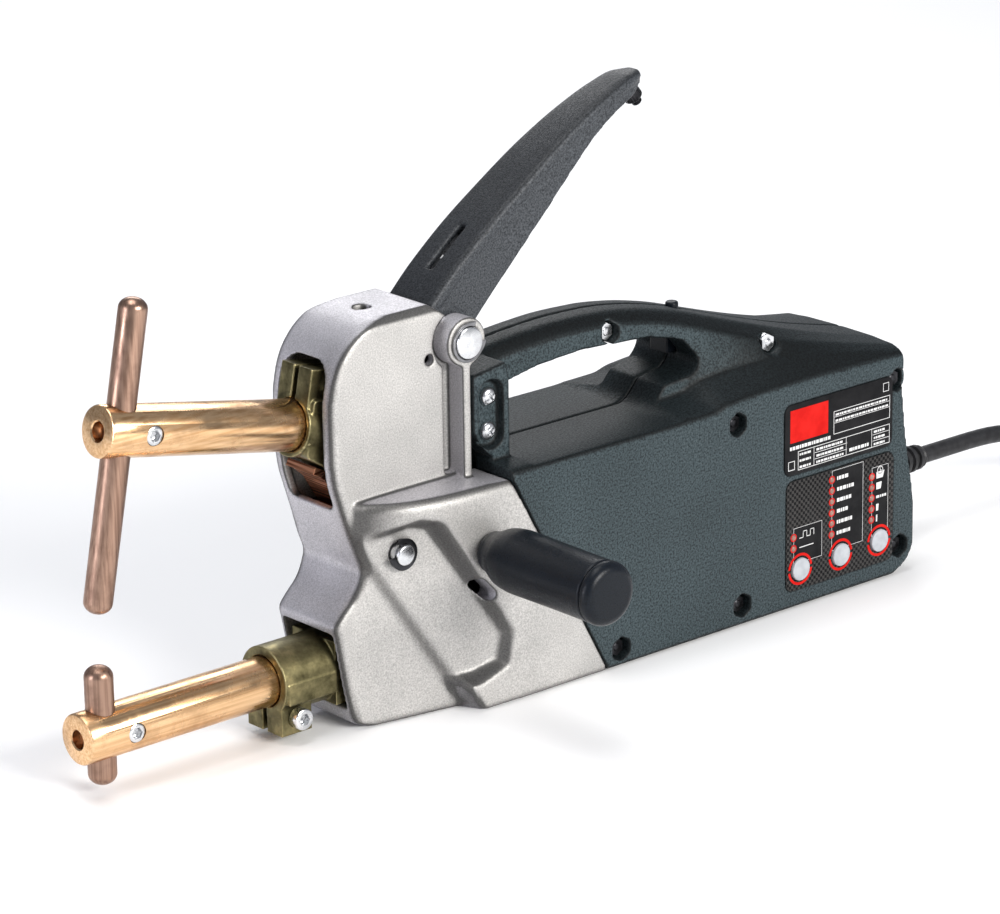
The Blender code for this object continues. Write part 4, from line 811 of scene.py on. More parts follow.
def build_casting():
    casting = loft("front_casting_look", [casting_ring(z, CASTING_SAMPLES) for z in casting_levels()])
    pivot = LEVER_PIVOT
    across = (0, 1, 0)
    grooves = []
    for sign in (-1, 1):
        low, high = sorted((sign * (NECK_HALF - GROOVE_DEPTH), sign * 60))
        grooves.append(box("groove", (30.6, low, 101.0), (36.2, high, 150.0)))
        grooves.append(rod("groove", (pivot[0], low, pivot[2]), across, high - low, 12.9, count=64))
    cut(casting, *grooves)
    boss = rod("boss", (pivot[0], -BOSS_FACE, pivot[2]), across, 2 * BOSS_FACE, 10.4, count=64)
    rib = box("rib", (36.0, -BOSS_FACE, 98.0), (NECK_BACK - 0.05, BOSS_FACE, 152.0))
    join(casting, boss, rib)
    hollow = loft("hollow", [cavity_ring(z) for z in spread(WALL, 170.5, 60)])
    lever_way = prism(
        "lever_way", ((25.5, 169.0), (26.5, 190.0), (70.0, 190.0), (70.0, 101.0),
                      (25.5, 101.0)), "Y", -15.5, 15.5
    )
    slot_corners = ((-13.6, 96.5), (13.6, 96.5), (13.6, 159.5), (-13.6, 159.5))
    slot = prism("slot", rounded(slot_corners, (4, 4, 9, 9), 10), "X", -40, -8)
    window_corners = ((-16.2, 9.5), (16.2, 9.5), (16.2, 44.0), (-16.2, 44.0))
    window = prism("window", rounded(window_corners, 1.5, 4), "X", -40, -10)
    cut(casting, hollow, lever_way, slot, window)
    holes = [
        rod("hole", (ARM_PIVOT[0], -50, ARM_PIVOT[2]), across, 100, ARM_PIN_RADIUS + GAP, count=32),
        rod("hole", (pivot[0], -50, pivot[2]), across, 100, LEVER_PIN_RADIUS + GAP, count=48),
        rod("hole", (23.2, -30, 152.2), across, 60, 2.3, count=24),
        rod("hole", (GRIP_X, -50, GRIP_Z), across, 30, 4.0, count=32),
        rod("hole", (GRIP_X, 20, GRIP_Z), across, 30, 4.0, count=32),
        rod("hole", (4.0, 0, 160), (0, 0, 1), 20, 3.6, count=32),
    ]
    for sign in (-1, 1):
        low, high = sorted((sign * 22, sign * 45))
        holes.append(prism("hole", oval_hole_outline(), "Y", low, high))
    cut(casting, *holes)
    return soften(casting, *SOFTNESS["casting"])


def oval_hole_outline():
    """A short slanting slot with round ends."""
    first, second = Vector((33.4, 56.2)), Vector((38.6, 50.4))
    turn = math.atan2(second.y - first.y, second.x - first.x)
    ends = ((second, turn - math.pi / 2), (first, turn + math.pi / 2))
    return [point for end, phase in ends for point in circle(end, 2.5, 24, phase)[:13]]


# ---------------------------------------------------------------- body shells
BODY_STATIONS = (  # x, top height, side half width, foot half width, foot height, ledge height
    (45, 147.0, 14.0, 14.0, 104.0, PANEL_TOP),
    (62, 147.6, 14.0, 14.3, 104.0, PANEL_TOP),
    (82, 149.4, 14.3, 14.6, 104.0, PANEL_TOP),
    (104, 150.4, 14.6, 14.9, 104.0, PANEL_TOP),
    (126, 149.6, 14.9, 15.4, 104.0, PANEL_TOP),
    (146, 147.0, 15.4, 16.4, 104.5, PANEL_TOP),
    (166, 142.5, 16.4, 18.6, 106.5, PANEL_TOP),
    (174, 140.2, 17.0, 21.0, 110.5, 104.0),
    (192, 134.2, 19.0, 23.8, 113.0, 104.8),
    (212, 127.6, 22.0, 27.0, 114.2, 104.8),
    (234, 120.8, 25.5, 30.5, 112.4, 104.6),
    (256, 114.8, 29.0, 33.5, 109.4, 104.2),
    (272, 111.0, 31.5, 35.5, 107.0, 103.8),
    (283, 108.4, 33.5, 36.8, 105.4, 103.4),
)


def fine_station(x):
    """The section sizes of the body at any place along it, on smooth curves."""
    return (x,) + tuple(smooth_table([(s[0], s[k]) for s in BODY_STATIONS], x) for k in range(1, 6))


def body_ring(x, top, side, foot, foot_z, ledge, base=0.0, half=BODY_HALF):
    """Section across the body, with rounded corners: flank, ledge, handle side and its back."""
    crown = min(6.0, (top - foot_z) * 0.45)
    corners = ((0, base), (half, base), (half, ledge), (foot + 0.8, foot_z), (side, top - crown),
               (side * 0.62, top - 0.4), (0, top))
    outline = rounded(corners, (0, 2.6, 3.6, 2.2, 5.0, 6.0, 0), 4)
    left = [(x, -y, z) for y, z in outline]
    right = [(x, y, z) for y, z in reversed(outline[1:-1])]
    return left + right


def body_rings():
    first, last = BODY_STATIONS[0][0], BODY_STATIONS[-1][0]
    rings = [body_ring(*fine_station(x)) for x in spread(first, last, 80)]
    x, top, side, foot, foot_z, ledge = BODY_STATIONS[-1]
    for back, fall, lift in ((285.0, 0.9, 0.0), (286.5, 2.2, 0.0), (288.2, 4.6, 0.2), (289.5, 8.0, 0.4)):
        drop = fall * 0.6
        ring = body_ring(x, top - drop, side, foot, foot_z - drop, ledge - drop, lift)
        rings.append([(back, y, z) for _, y, z in ring])
    ring = body_ring(x, top - 24, side, foot, foot_z - 24, ledge - 24, 1.2, BODY_HALF - 0.6)
    rings.append([(BODY_LENGTH_END, y, z) for _, y, z in ring])
    return rings


def gap_outline():
    """The finger opening under the handle, seen from the side."""
    corners = (
        (61.5, PANEL_TOP - 0.6), (149, PANEL_TOP - 0.6), (157, 111.5), (171, 113.6), (176.5, 119.0),
        (168, 129.5), (150, 134.0), (112, 136.2), (87, 134.6), (70, 131.4), (61.5, 126.0),
    )
    return rounded(corners, (3, 12, 4, 3, 5, 10, 20, 60, 60, 12, 4), 5)


def shell_front_outline():
    """What lies in front of the shells: the casting behind its slanting joint, and the neck."""
    low = (joint_line(-10) + GAP, -10)
    corner = (joint_line(LEDGE_Z) + GAP, LEDGE_Z)
    return ((-40, -10), low, corner, (corner[0], 101.0), (49.0, 106.6), (NECK_BACK + 0.5, 117.5),
            (NECK_BACK + 0.5, 190), (-40, 190))


BACK_SLOPE = (
    (278.5, -5), (300, -5), (300, 130), (283.0, 130), (283.0, 100), (281.6, 91), (284.4, 66),
    (290.6, 32), (290.6, 12), (286, 5.5), (278.5, 0.6),
)
SHELL_HOLLOW = (
    (45, SHELL_WALL), (281, SHELL_WALL), (286, 12), (286, 32), (279.5, 66),
    (277, 97.5), (60, 97.5), (45, 97.5),
)
HANDLE_HOLLOW = ((186, 96.5), (272, 96.5), (272, 102.5), (222, 118.0), (192, 125.0), (186, 118.0))
FLANGE_OUTLINE = (
    (NECK_BACK + 0.5, 117.5), (49.0, 106.6), (58.0, 100.0), (61.5, 100.0),
    (61.5, 137.0), (59.4, 145.2), (NECK_BACK + 0.5, 142.2),
)
PLATE_BOX = ((208.2, 62.8), (275.2, 95.3))
PANEL_BOX = ((209.4, 8.6), (276.4, 59.8))
DISH = (170.8, 54.1, 11.6)  # shallow round dish in the flank: x, z and radius


def build_body():
    """Both shells in one, before they are parted in the middle plane."""
    body = loft("body_look", body_rings())
    join(body, prism("flange", FLANGE_OUTLINE, "Y", -BOSS_FACE, BOSS_FACE))
    wall = BODY_HALF - SHELL_WALL
    cut(
        body,
        prism("front_way", shell_front_outline(), "Y", -60, 60),
        prism("back_slope", BACK_SLOPE, "Y", -60, 60),
        prism("hollow", SHELL_HOLLOW, "Y", -wall, wall),
        prism("handle_hollow", HANDLE_HOLLOW, "Y", -15.0, 15.0),
        prism("finger_gap", gap_outline(), "Y", -60, 60),
        box("neck_way", (30, -15.6, 96), (56, 15.6, 138.0)),
        box("crank_way", (30, -13.1, 130), (53, 13.1, 156.0)),
    )
    return body


def screw_pocket(x, z, radius, sign, low, high):
    """The pocket for a screw: hexagonal for the nuts on the left, round for the heads."""
    low, high = sorted((sign * low, sign * high))
    outline = circle((x, z), radius, 6 if sign < 0 else 32, math.pi / 6)
    return prism("pocket", outline, "Y", low, high)


def shell_cutters(sign):
    across = (0, sign, 0)
    cutters = []
    for x, z in SCREW_PLACES:
        cutters.append(rod("screw_way", (x, -sign, z), across, 60, 2.0 + GAP, count=16))
        cutters.append(screw_pocket(x, z, 5.4, sign, BODY_HALF - 7, BODY_HALF + 5))
    for x, z, half in HANDLE_SCREW_PLACES:
        cutters.append(rod("screw_way", (x, -sign, z), across, 60, 2.0 + GAP, count=16))
        cutters.append(screw_pocket(x, z, 5.0, sign, half - 6.5, half + 12))
    low, high = sorted((sign * (BOSS_FACE - 4), sign * (BOSS_FACE + 4)))
    recess = rounded(((44.5, 109.0), (57.5, 109.0), (57.5, 138.5), (44.5, 138.5)), 5.8, 8)
    cutters.append(prism("flange_recess", recess, "Y", low, high))
    for x, z in FLANGE_SCREW_PLACES:
        cutters.append(rod("screw_way", (x, sign * 14, z), across, 30, 2.0 + GAP, count=16))
    cutters.append(rod("gland_way", (270, 0, CABLE_Z), (1, 0, 0), 40, 8.0 + GAP, count=40))
    cutters.append(box("switch_way", (169.0, -6.3, 120.0), (187.0, 6.3, 135.0)))
    cutters.append(rod("start_way", (178.0, 0, 130), (0, 0, 1), 20, 3.4, count=32))
    x, z, radius = DISH
    dish = [(-12.0, radius), (-1.4, radius), (0.0, radius - 1.2)]
    cutters.append(turned("dish", dish, (x, sign * (BODY_HALF + 0.05), z), (0, -sign, 0), count=48))
    if sign < 0:
        cutters += panel_cutters()
    return cutters


def panel_cutters():
    depth = BODY_HALF - 1.1
    cutters = []
    for (x0, z0), (x1, z1) in (PLATE_BOX, PANEL_BOX):
        corners = ((x0 - GAP, z0 - GAP), (x1 + GAP, z0 - GAP), (x1 + GAP, z1 + GAP), (x0 - GAP, z1 + GAP))
        cutters.append(prism("seat", rounded(corners, 4.0, 6), "Y", -BODY_HALF - 4, -depth))
    for x, z in BUTTON_PLACES:
        cutters.append(rod("button_way", (x, -50, z), (0, 1, 0), 20, 6.0, count=32))
    for x, low, high in GUIDE_PLACES:
        cutters.append(box("guide_way", (x - 2.2, -50, low - 2.2), (x + 2.2, -30, high + 2.2)))
    return cutters


def build_shell(body, sign):
    """One half of the body; sign is -1 for the left shell and +1 for the right one."""
    shell = body.copy()
    shell.data = body.data.copy()
    shell.name = "body_shell_look_left" if sign < 0 else "body_shell_look_right"
    bpy.context.scene.collection.objects.link(shell)
    bosses = [rod("boss", (x, sign * (BODY_HALF - 2.0), z), (0, -sign, 0), BODY_HALF, 7.0, count=24)
              for x, z in SCREW_PLACES]
    join(shell, *bosses)
    low, high = sorted((sign * SPLIT, -sign * 70))
    combine(shell, [box("other_half", (-60, low, -20), (320, high, 220))], "DIFFERENCE", crossing=True)
    cut(shell, *shell_cutters(sign))
    return soften(shell, *SOFTNESS["shell"])


# ---------------------------------------------------------------- arms and clamps
def arm_point(along, height, y=0.0):
    """A point in the frame of the upper arm: along it to the rear, and square to it upwards."""
    x = along * math.cos(ARM_TILT) + height * math.sin(ARM_TILT)
    z = -along * math.sin(ARM_TILT) + height * math.cos(ARM_TILT)
    return (ARM_PIVOT[0] + x, y, ARM_PIVOT[2] + z)


ARM_REARWARD = (math.cos(ARM_TILT), 0.0, -math.sin(ARM_TILT))
ARM_UPWARD = (math.sin(ARM_TILT), 0.0, math.cos(ARM_TILT))


UPPER_BLOCK = (  # side outline of the upper arm holder, in the frame of the arm
    (-44, 38), (-44, 62), (-23, 62), (-17.0, 79), (-1.0, 79), (5.0, 64), (11, 30), (10, -2),
    (4, -7.5), (-4, -7.5), (-7.5, -2), (-9, 8), (-13, 18), (-27, 31),
)
HOLDER_CORNERS = (3, 2, 2, 4, 4, 3, 6, 4, 3, 3, 3, 2, 3, 4)
UPPER_SCREW = (-34.5, 68.0)
LUG_HALF = 9.8


# ---------------------------------------------------------------- lever
LEVER_TOP = ((27.6, 171.2), (38, 181.4), (50, 191.5), (63, 201.4), (77, 211.0), (99, 225.4), (121, 237.6),
             (137, 244.6), (149, 248.6), (156.5, 249.0))
LEVER_DEPTH = ((0, 27), (2, 24.6), (4, 20.5), (5, 16.2), (6, 11.6), (7, 9.6), (8, 9.0), (9, 6.0))
LEVER_HALF = ((0, 14.0), (2, 14.0), (4, 13.4), (5, 12.4), (6, 10.8), (7, 9.6), (8, 7.8), (9, 4.4))
LEVER_CAP_DEPTH = 5.0  # the back of the lever stands a little proud of its flanks down to here
LEVER_CAP_STEP = 0.9


def lever_back_point(place):
    """A point on the smooth line of the lever's back; place counts along LEVER_TOP."""
    x = smooth_table([(k, p[0]) for k, p in enumerate(LEVER_TOP)], place)
    z = smooth_table([(k, p[1]) for k, p in enumerate(LEVER_TOP)], place)
    return Vector((x, z))


def lever_section(place, skin):
    """Section of the lever square to its back; skin lies inwards."""
    start = lever_back_point(place)
    low = max(place - 0.1, 0.0)
    high = min(place + 0.1, len(LEVER_TOP) - 1)
    forward = (lever_back_point(high) - lever_back_point(low)).normalized()
    down = Vector((forward.y, -forward.x))
    half = smooth_table(LEVER_HALF, place) - skin
    depth = smooth_table(LEVER_DEPTH, place)
    step = 0.0 if skin else LEVER_CAP_STEP
    bottom = depth + (4.0 if skin else 0.0)
    cap = min(LEVER_CAP_DEPTH, depth * 0.45)
    top = skin * 1.1
    corner = min(2.6, half * 0.5)
    section = [(-half + step, bottom), (-half + step, top + cap + step)]
    section += [(-half, top + cap - 0.4)]
    section += [(-half + corner * (1 - math.cos(t)), top + corner * (1 - math.sin(t)))
                for t in (math.radians(15 * k) for k in range(7))]
    crown = [(-half * s, top - 0.35 * (1 - s * s) * (0 if skin else 1)) for s in (0.6, 0.2, -0.2, -0.6)]
    mirrored = [(-y, fall) for y, fall in reversed(section)]
    ring = []
    for y, fall in section + crown + mirrored:
        spot = start + down * fall
        ring.append((spot.x, y, spot.y))
    return ring


def build_lever():
    last = len(LEVER_TOP) - 1
    lever = loft("lever_look", [lever_section(place, 0.0) for place in spread(0, last, 70)])
    hollow = loft("hollow", [lever_section(place, 2.8) for place in spread(0.45, last - 1.55, 40)])
    px, _, pz = LEVER_PIVOT
    knuckle = rod("knuckle", (px, -13.8, pz), (0, 1, 0), 27.6, 12.0, count=48)
    pin_x, pin_z = link_pin_on_lever()
    crank_outline = ((px - 11.5, pz + 4), (px - 9, pz - 9), (pin_x - 6.2, pin_z - 3),
                     (pin_x - 3, pin_z - 6.2),
                     (pin_x + 4, pin_z - 5.2), (pin_x + 6.2, pin_z), (px + 11.5, pz + 2))
    crank = prism("crank", crank_outline, "Y", -12.4, 12.4)
    middle = box("middle_way", (18, -5.0, 130), (58, 5.0, 156.0))
    cut(lever, hollow)
    corners = ((24.6, -16.0), (27.0, -16.0), (27.0, -1.5), (24.6, -1.5))
    wall = loft("screw_wall", [[screw_point(d, drop, y) for d, drop in corners] for y in (-12.2, 12.2)])
    join(lever, knuckle, crank, wall)
    axis = adjuster_direction()
    along, _ = slot_frame()
    cut(
        lever, middle,
        rod("pin_way", (px, -20, pz), (0, 1, 0), 40, LEVER_PIN_RADIUS + GAP, count=48),
        rod("link_way", (pin_x, -20, pin_z), (0, 1, 0), 40, LINK_PIN_RADIUS + GAP, count=24),
        loft("slot", lever_slot_rings(2.0, -6.0, 6.0)),
        rod("adjuster_way", adjuster_point(-2.0), axis, 11.2, 2.5 + GAP, count=24),
        rod("adjuster_room", adjuster_point(-9.0), axis, 13.0, 5.0, count=24),
        rod("screw_way", screw_point(23.0), (along.x, 0, along.y), 6, 2.5 + GAP, count=24),
    )
    return soften(lever, *SOFTNESS["lever"])


def link_pin_on_lever():
    swing = math.radians(LEVER_TRAVEL / 2)
    return (LEVER_PIVOT[0] + LINK_CRANK * math.sin(swing), LEVER_PIVOT[2] - LINK_CRANK * math.cos(swing))


def link_pin_on_holder():
    swing = math.radians(LEVER_TRAVEL * ARM_RATIO / 2)
    return (ARM_PIVOT[0] + LINK_REACH * math.sin(swing), ARM_PIVOT[2] + LINK_REACH * math.cos(swing))


SLOT_START = Vector((40.6, 183.6))
SLOT_END = Vector((59.6, 198.9))


def slot_frame():
    along = (SLOT_END - SLOT_START).normalized()
    return along, Vector((-along.y, along.x))


def lever_slot_rings(half, below, above):
    """The window in the lever's back, along which the force pointer moves."""
    _, up = slot_frame()
    rings = []
    for level in (below, above):
        ring = []
        for corner, y in ((SLOT_START, -half), (SLOT_END, -half), (SLOT_END, half), (SLOT_START, half)):
            spot = corner + up * level
            ring.append((spot.x, y, spot.y))
        rings.append(ring)
    return rings


SCREW_DROP = -9.0  # force screw axis below the bottom of the slot


def screw_point(distance, drop=SCREW_DROP, y=0.0):
    """A point at a distance along the slot from its start, and square to the lever's back."""
    along, up = slot_frame()
    spot = SLOT_START + along * distance + up * drop
    return (spot.x, y, spot.y)


def adjuster_direction():
    turn = math.radians(LEVER_TRAVEL)
    return (-math.sin(turn), 0.0, math.cos(turn))


def adjuster_point(lift):
    return tuple(Vector(ADJUSTER_REST) + Vector(adjuster_direction()) * lift)


# ---------------------------------------------------------------- arms, electrodes and their screws
SET_SCREW_RIM = 4.1  # rim of the set screws, a little wider than their thread


def build_arm(name, front, direction, length, electrode_at, upward):
    """A drawn bar with a bore in its end, a cross hole for the electrode and a set screw hole."""
    ends = [(0, ARM_RADIUS - 1.0), (0.3, ARM_RADIUS - 0.35), (1.0, ARM_RADIUS)]
    profile = ends + [(length - along, radius) for along, radius in reversed(ends)]
    arm = turned(name, profile, front, direction, count=96, smooth=30)
    seat = Vector(front) + Vector(direction) * electrode_at
    behind = seat + Vector(direction) * SET_SCREW_BACK
    bore = [(-2, ARM_BORE + 1.0), (0, ARM_BORE + 0.5), (0.5, ARM_BORE), (24, ARM_BORE), (26, 0)]
    cut(
        arm,
        turned("bore", bore, front, direction, count=48),
        rod("hole", seat - Vector(upward) * 20, upward, 40, ELECTRODE_RADIUS + 0.12, count=48),
        rod("hole", (behind.x, -20, behind.z), (0, 1, 0), 20, SET_SCREW_RIM + 0.1, count=40),
    )
    return ease_edges(arm, 0.25, 2, 40)


def build_electrode(name, base, direction, length):
    """A round bar with domed ends."""
    radius = ELECTRODE_RADIUS
    dome = [(radius * 0.8 * (1 - math.cos(t)), radius * math.sin(t))
            for t in (math.radians(10 * k) for k in range(10))]
    dome = [(along, max(size, 0.0)) for along, size in dome]
    profile = dome + [(length - along, size) for along, size in reversed(dome)]
    return turned(name, profile, base, direction, count=64, smooth=60)


def build_socket_piece(name, profile, base, direction, socket_radius, socket_depth, top):
    """A turned screw with a hexagon socket in its head; top is where the head ends along the axis."""
    screw = turned(name, profile, base, direction, count=48, smooth=35)
    start = Vector(base) + Vector(direction) * (top - 1.0)
    socket = [(0, socket_radius + 0.35), (1.0, socket_radius + 0.35), (1.35, socket_radius),
              (socket_depth + 1, socket_radius)]
    cut(screw, turned("socket", socket, start, direction, count=6, smooth=None))
    return ease_edges(screw, 0.12, 2, 38)


def build_clamp_screw(name, head_base, shank, head_radius, head_height):
    """Socket-head clamp screw across the lugs, with an eased rim on its head."""
    edge = 0.6
    profile = [(-head_height, head_radius - edge), (-head_height + edge * 0.4, head_radius - 0.15),
               (-head_height + edge, head_radius), (-0.5, head_radius), (0, head_radius - 0.3),
               (0, 3.0), (shank, 3.0)]
    return build_socket_piece(name, profile, head_base, (0, 1, 0), head_radius * 0.55, head_height * 0.6,
                              -head_height)


def build_set_screw(name, face):
    radius = SET_SCREW_RIM
    profile = [(0, radius - 0.8), (0.3, radius - 0.2), (0.8, radius), (9.5, radius)]
    return build_socket_piece(name, profile, face, (0, 1, 0), 2.35, 2.5, 0.0)


def add_arms(look):
    rear, up = ARM_REARWARD, ARM_UPWARD
    arm = build_arm("upper_arm_look", arm_point(ARM_FRONT, ARM_HEIGHT), rear, ARM_BACK - ARM_FRONT,
                    UPPER_ELECTRODE_ALONG - ARM_FRONT, up)
    finish_piece(arm, look["arm"], "upper_arm_group", "arm_copper", "upper_arm")
    arm = build_arm("lower_arm_look", (LOWER_ARM_FRONT, 0, LOWER_ARM_Z), (1, 0, 0),
                    LOWER_ARM_BACK - LOWER_ARM_FRONT, LOWER_ELECTRODE_X - LOWER_ARM_FRONT, (0, 0, 1))
    finish_piece(arm, look["arm"], "body", "arm_copper", "lower_arm")
    low, high = UPPER_ELECTRODE_SPAN
    tip = build_electrode("upper_electrode_look", arm_point(UPPER_ELECTRODE_ALONG, low), up, high - low)
    finish_piece(tip, look["electrode"], "upper_arm_group", "electrode_copper", "upper_electrode")
    low, high = LOWER_ELECTRODE_SPAN
    tip = build_electrode("lower_electrode_look", (LOWER_ELECTRODE_X, 0, low), (0, 0, 1), high - low)
    finish_piece(tip, look["electrode"], "body", "electrode_copper", "lower_electrode")
    x, _, z = arm_point(UPPER_ELECTRODE_ALONG + SET_SCREW_BACK, ARM_HEIGHT)
    screw = build_set_screw("upper_set_screw_look", (x, -ARM_RADIUS + 0.2, z))
    finish_piece(screw, look["steel"], "upper_arm_group", "black_steel", "upper_set_screw")
    screw = build_set_screw("lower_set_screw_look",
                            (LOWER_ELECTRODE_X + SET_SCREW_BACK, -ARM_RADIUS + 0.2, LOWER_ARM_Z))
    finish_piece(screw, look["steel"], "body", "black_steel", "lower_set_screw")
    x, _, z = arm_point(*UPPER_SCREW)
    screw = build_clamp_screw("upper_clamp_screw_look", (x, -LUG_HALF - GAP, z), 19.0, 4.2, 3.2)
    finish_piece(screw, look["steel"], "upper_arm_group", "zinc_steel", "upper_clamp_screw")
    screw = build_clamp_screw("lower_clamp_screw_look", (-45, -11.5 - GAP, 11.0), 22.5, 4.6, 5.0)
    finish_piece(screw, look["steel"], "body", "zinc_steel", "lower_clamp_screw")


def build_upper_holder():
    outline = []
    for along, height in rounded(UPPER_BLOCK, HOLDER_CORNERS, 4):
        x, _, z = arm_point(along, height)
        outline.append((x, z))
    holder = prism("upper_arm_holder_look", outline, "Y", -11.5, 11.5)
    ring = rod("ring", arm_point(-46, ARM_HEIGHT), ARM_REARWARD, 31, 13.2, count=64)
    corners = ((-45.8, 55), (-28.2, 55), (-28.2, 74.5), (-45.8, 74.5))
    lugs = loft("lugs", [[arm_point(a, h, y) for a, h in corners] for y in (-LUG_HALF, LUG_HALF)])
    join(holder, ring, lugs)
    corners = ((-50, ARM_HEIGHT), (-25.5, ARM_HEIGHT), (-25.5, 90), (-50, 90))
    slit = loft("slit", [[arm_point(a, h, y) for a, h in corners] for y in (-1.3, 1.3)])
    x, _, z = arm_point(*UPPER_SCREW)
    across = (0, 1, 0)
    link_x, link_z = link_pin_on_holder()
    cut(
        holder, slit,
        rod("bore", arm_point(-50, ARM_HEIGHT), ARM_REARWARD, 50 + ARM_BACK + GAP, ARM_RADIUS + GAP,
            count=64),
        rod("screw_way", (x, -20, z), across, 40, 3.0 + GAP, count=32),
        rod("pin_way", (ARM_PIVOT[0], -20, ARM_PIVOT[2]), across, 40, ARM_PIN_RADIUS + GAP, count=32),
        rod("link_way", (link_x, -20, link_z), across, 40, LINK_PIN_RADIUS + GAP, count=24),
        box("fork", (link_x - 12, -4.6, link_z - 8.5), (link_x + 16, 4.6, link_z + 12)),
    )
    return soften(holder, *SOFTNESS["clamp"])


def build_lower_holder():
    front, back = -53.0, -19.0
    block = box("lower_arm_holder_look", (-26, -14, 11.5), (22, 14, 39.5))
    ring = rod("ring", (front, 0, LOWER_ARM_Z), (1, 0, 0), back - front, 15.0, count=72)
    lugs = box("lugs", (front + 0.2, -11.5, 3.6), (-37, 11.5, 18))
    pad = box("pad", (front + 1.5, -15.35, 18.0), (-26, -10.0, 27.0))
    join(block, ring, lugs, pad)
    cut(
        block,
        box("slit", (-60, -1.3, 0), (-30, 1.3, LOWER_ARM_Z)),
        rod("bore", (-60, 0, LOWER_ARM_Z), (1, 0, 0), 60 + LOWER_ARM_BACK + GAP, ARM_RADIUS + GAP,
            count=72),
        rod("screw_way", (-45, -20, 11.0), (0, 1, 0), 40, 3.0 + GAP, count=32),
    )
    return soften(block, *SOFTNESS["clamp"])


def add_holders(look):
    """The clamps that hold the two arms."""
    finish_piece(build_upper_holder(), look["brass"], "upper_arm_group", "clamp_brass", "upper_arm_holder")
    finish_piece(build_lower_holder(), look["brass"], "body", "clamp_brass", "lower_arm_holder")


# ---------------------------------------------------------------- pins and clips
def build_clip(name, centre, y, inner, outer, facing, lugs):
    """A flat retaining clip: most of a ring, open on one side, with bulged lugs beside the opening."""
    opening = math.radians(34)
    sweep = 2 * math.pi - 2 * opening
    count = 48
    outline = []
    for k in range(count + 1):
        turn = math.radians(facing) + opening + sweep * k / count
        near_end = min(k, count - k) / count
        reach = outer + lugs * max(0.0, 1 - near_end * 9)
        outline.append((centre[0] + reach * math.cos(turn), centre[2] + reach * math.sin(turn)))
    for k in range(count + 1):
        turn = math.radians(facing) + opening + sweep * (1 - k / count)
        outline.append((centre[0] + inner * math.cos(turn), centre[2] + inner * math.sin(turn)))
    return ease_edges(prism(name, outline, "Y", y - 0.5, y + 0.5), 0.12, 2, 40)


def add_pins(look):
    half = BOSS_FACE + 2.2
    radius = LEVER_PIN_RADIUS
    end = [(0, 0.0), (0, radius - 0.75), (0.2, radius - 0.25), (0.7, radius)]
    profile = end + [(2 * half - along, size) for along, size in reversed(end)]
    pin = turned("lever_pin_look", profile, (LEVER_PIVOT[0], -half, LEVER_PIVOT[2]), (0, 1, 0), count=72,
                 smooth=40)
    finish_piece(pin, look["steel"], "body", "zinc_steel", "lever_pin")
    half = ARM_PIN_HALF
    radius, neck = ARM_PIN_RADIUS, 3.4
    end = [(0, 0.0), (0, radius - 0.8), (0.2, radius - 0.3), (0.6, radius), (1.3, radius), (1.3, neck),
           (2.6, neck), (2.6, radius)]
    profile = end + [(2 * half - along, size) for along, size in reversed(end)]
    pin = turned("arm_pin_look", profile, (ARM_PIVOT[0], -half, ARM_PIVOT[2]), (0, 1, 0), count=56,
                 smooth=40)
    finish_piece(pin, look["steel"], "body", "zinc_steel", "arm_pin")
    for sign, side in ((-1, "left"), (1, "right")):
        clip = build_clip("lever_pin_clip_look_" + side, LEVER_PIVOT, sign * (BOSS_FACE + 0.9),
                          LEVER_PIN_RADIUS + GAP, 8.4, 30, 0.9)
        finish_piece(clip, look["spring"], "body", "spring_steel", "lever_pin_clip_" + side)
        clip = build_clip("arm_pin_clip_look_" + side, ARM_PIVOT, sign * (half - 1.95), neck + GAP, 6.9,
                          150, 0.8)
        finish_piece(clip, look["dark_steel"], "body", "black_steel", "arm_pin_clip_" + side)


# ---------------------------------------------------------------- screws of the shells
def cross_recess(centre, y, sign, reach, width, depth):
    """The two bars of a cross recess, sunk into a screw head that faces along Y."""
    x, z = centre
    low, high = sorted((y - sign * 1.0, y + sign * depth))
    bars = []
    for turn in (math.radians(35), math.radians(125)):
        u = Vector((math.cos(turn), math.sin(turn)))
        v = Vector((-u.y, u.x))
        corners = [Vector((x, z)) + u * a * reach + v * b * width
                   for a, b in ((-1, -1), (1, -1), (1, 1), (-1, 1))]
        bars.append(prism("bar", [tuple(corner) for corner in corners], "Y", low, high))
    return bars


def add_flange_screws(look):
    """Pan-head cross-recess screws in the flanges of the handle."""
    head = 4.0
    dome = [(-2.4, 0.0), (-2.4, 1.2), (-2.25, 2.2), (-1.9, 3.1), (-1.2, 3.75), (-0.6, head), (0, head)]
    for sign, side in ((-1, "left"), (1, "right")):
        for number, (x, z) in enumerate(FLANGE_SCREW_PLACES):
            y = sign * (BOSS_FACE - 4 + GAP)
            name = f"flange_screw_{side}_{number + 1}"
            screw = turned(name + "_look", dome + [(0, 2.0), (5, 2.0)], (x, y, z), (0, -sign, 0), count=48)
            cut(screw, *cross_recess((x, z), y + sign * 2.4, -sign, 2.3, 0.5, 1.5))
            finish_piece(ease_edges(screw, 0.08, 1, 40), look["steel"], "body", "zinc_steel", name)


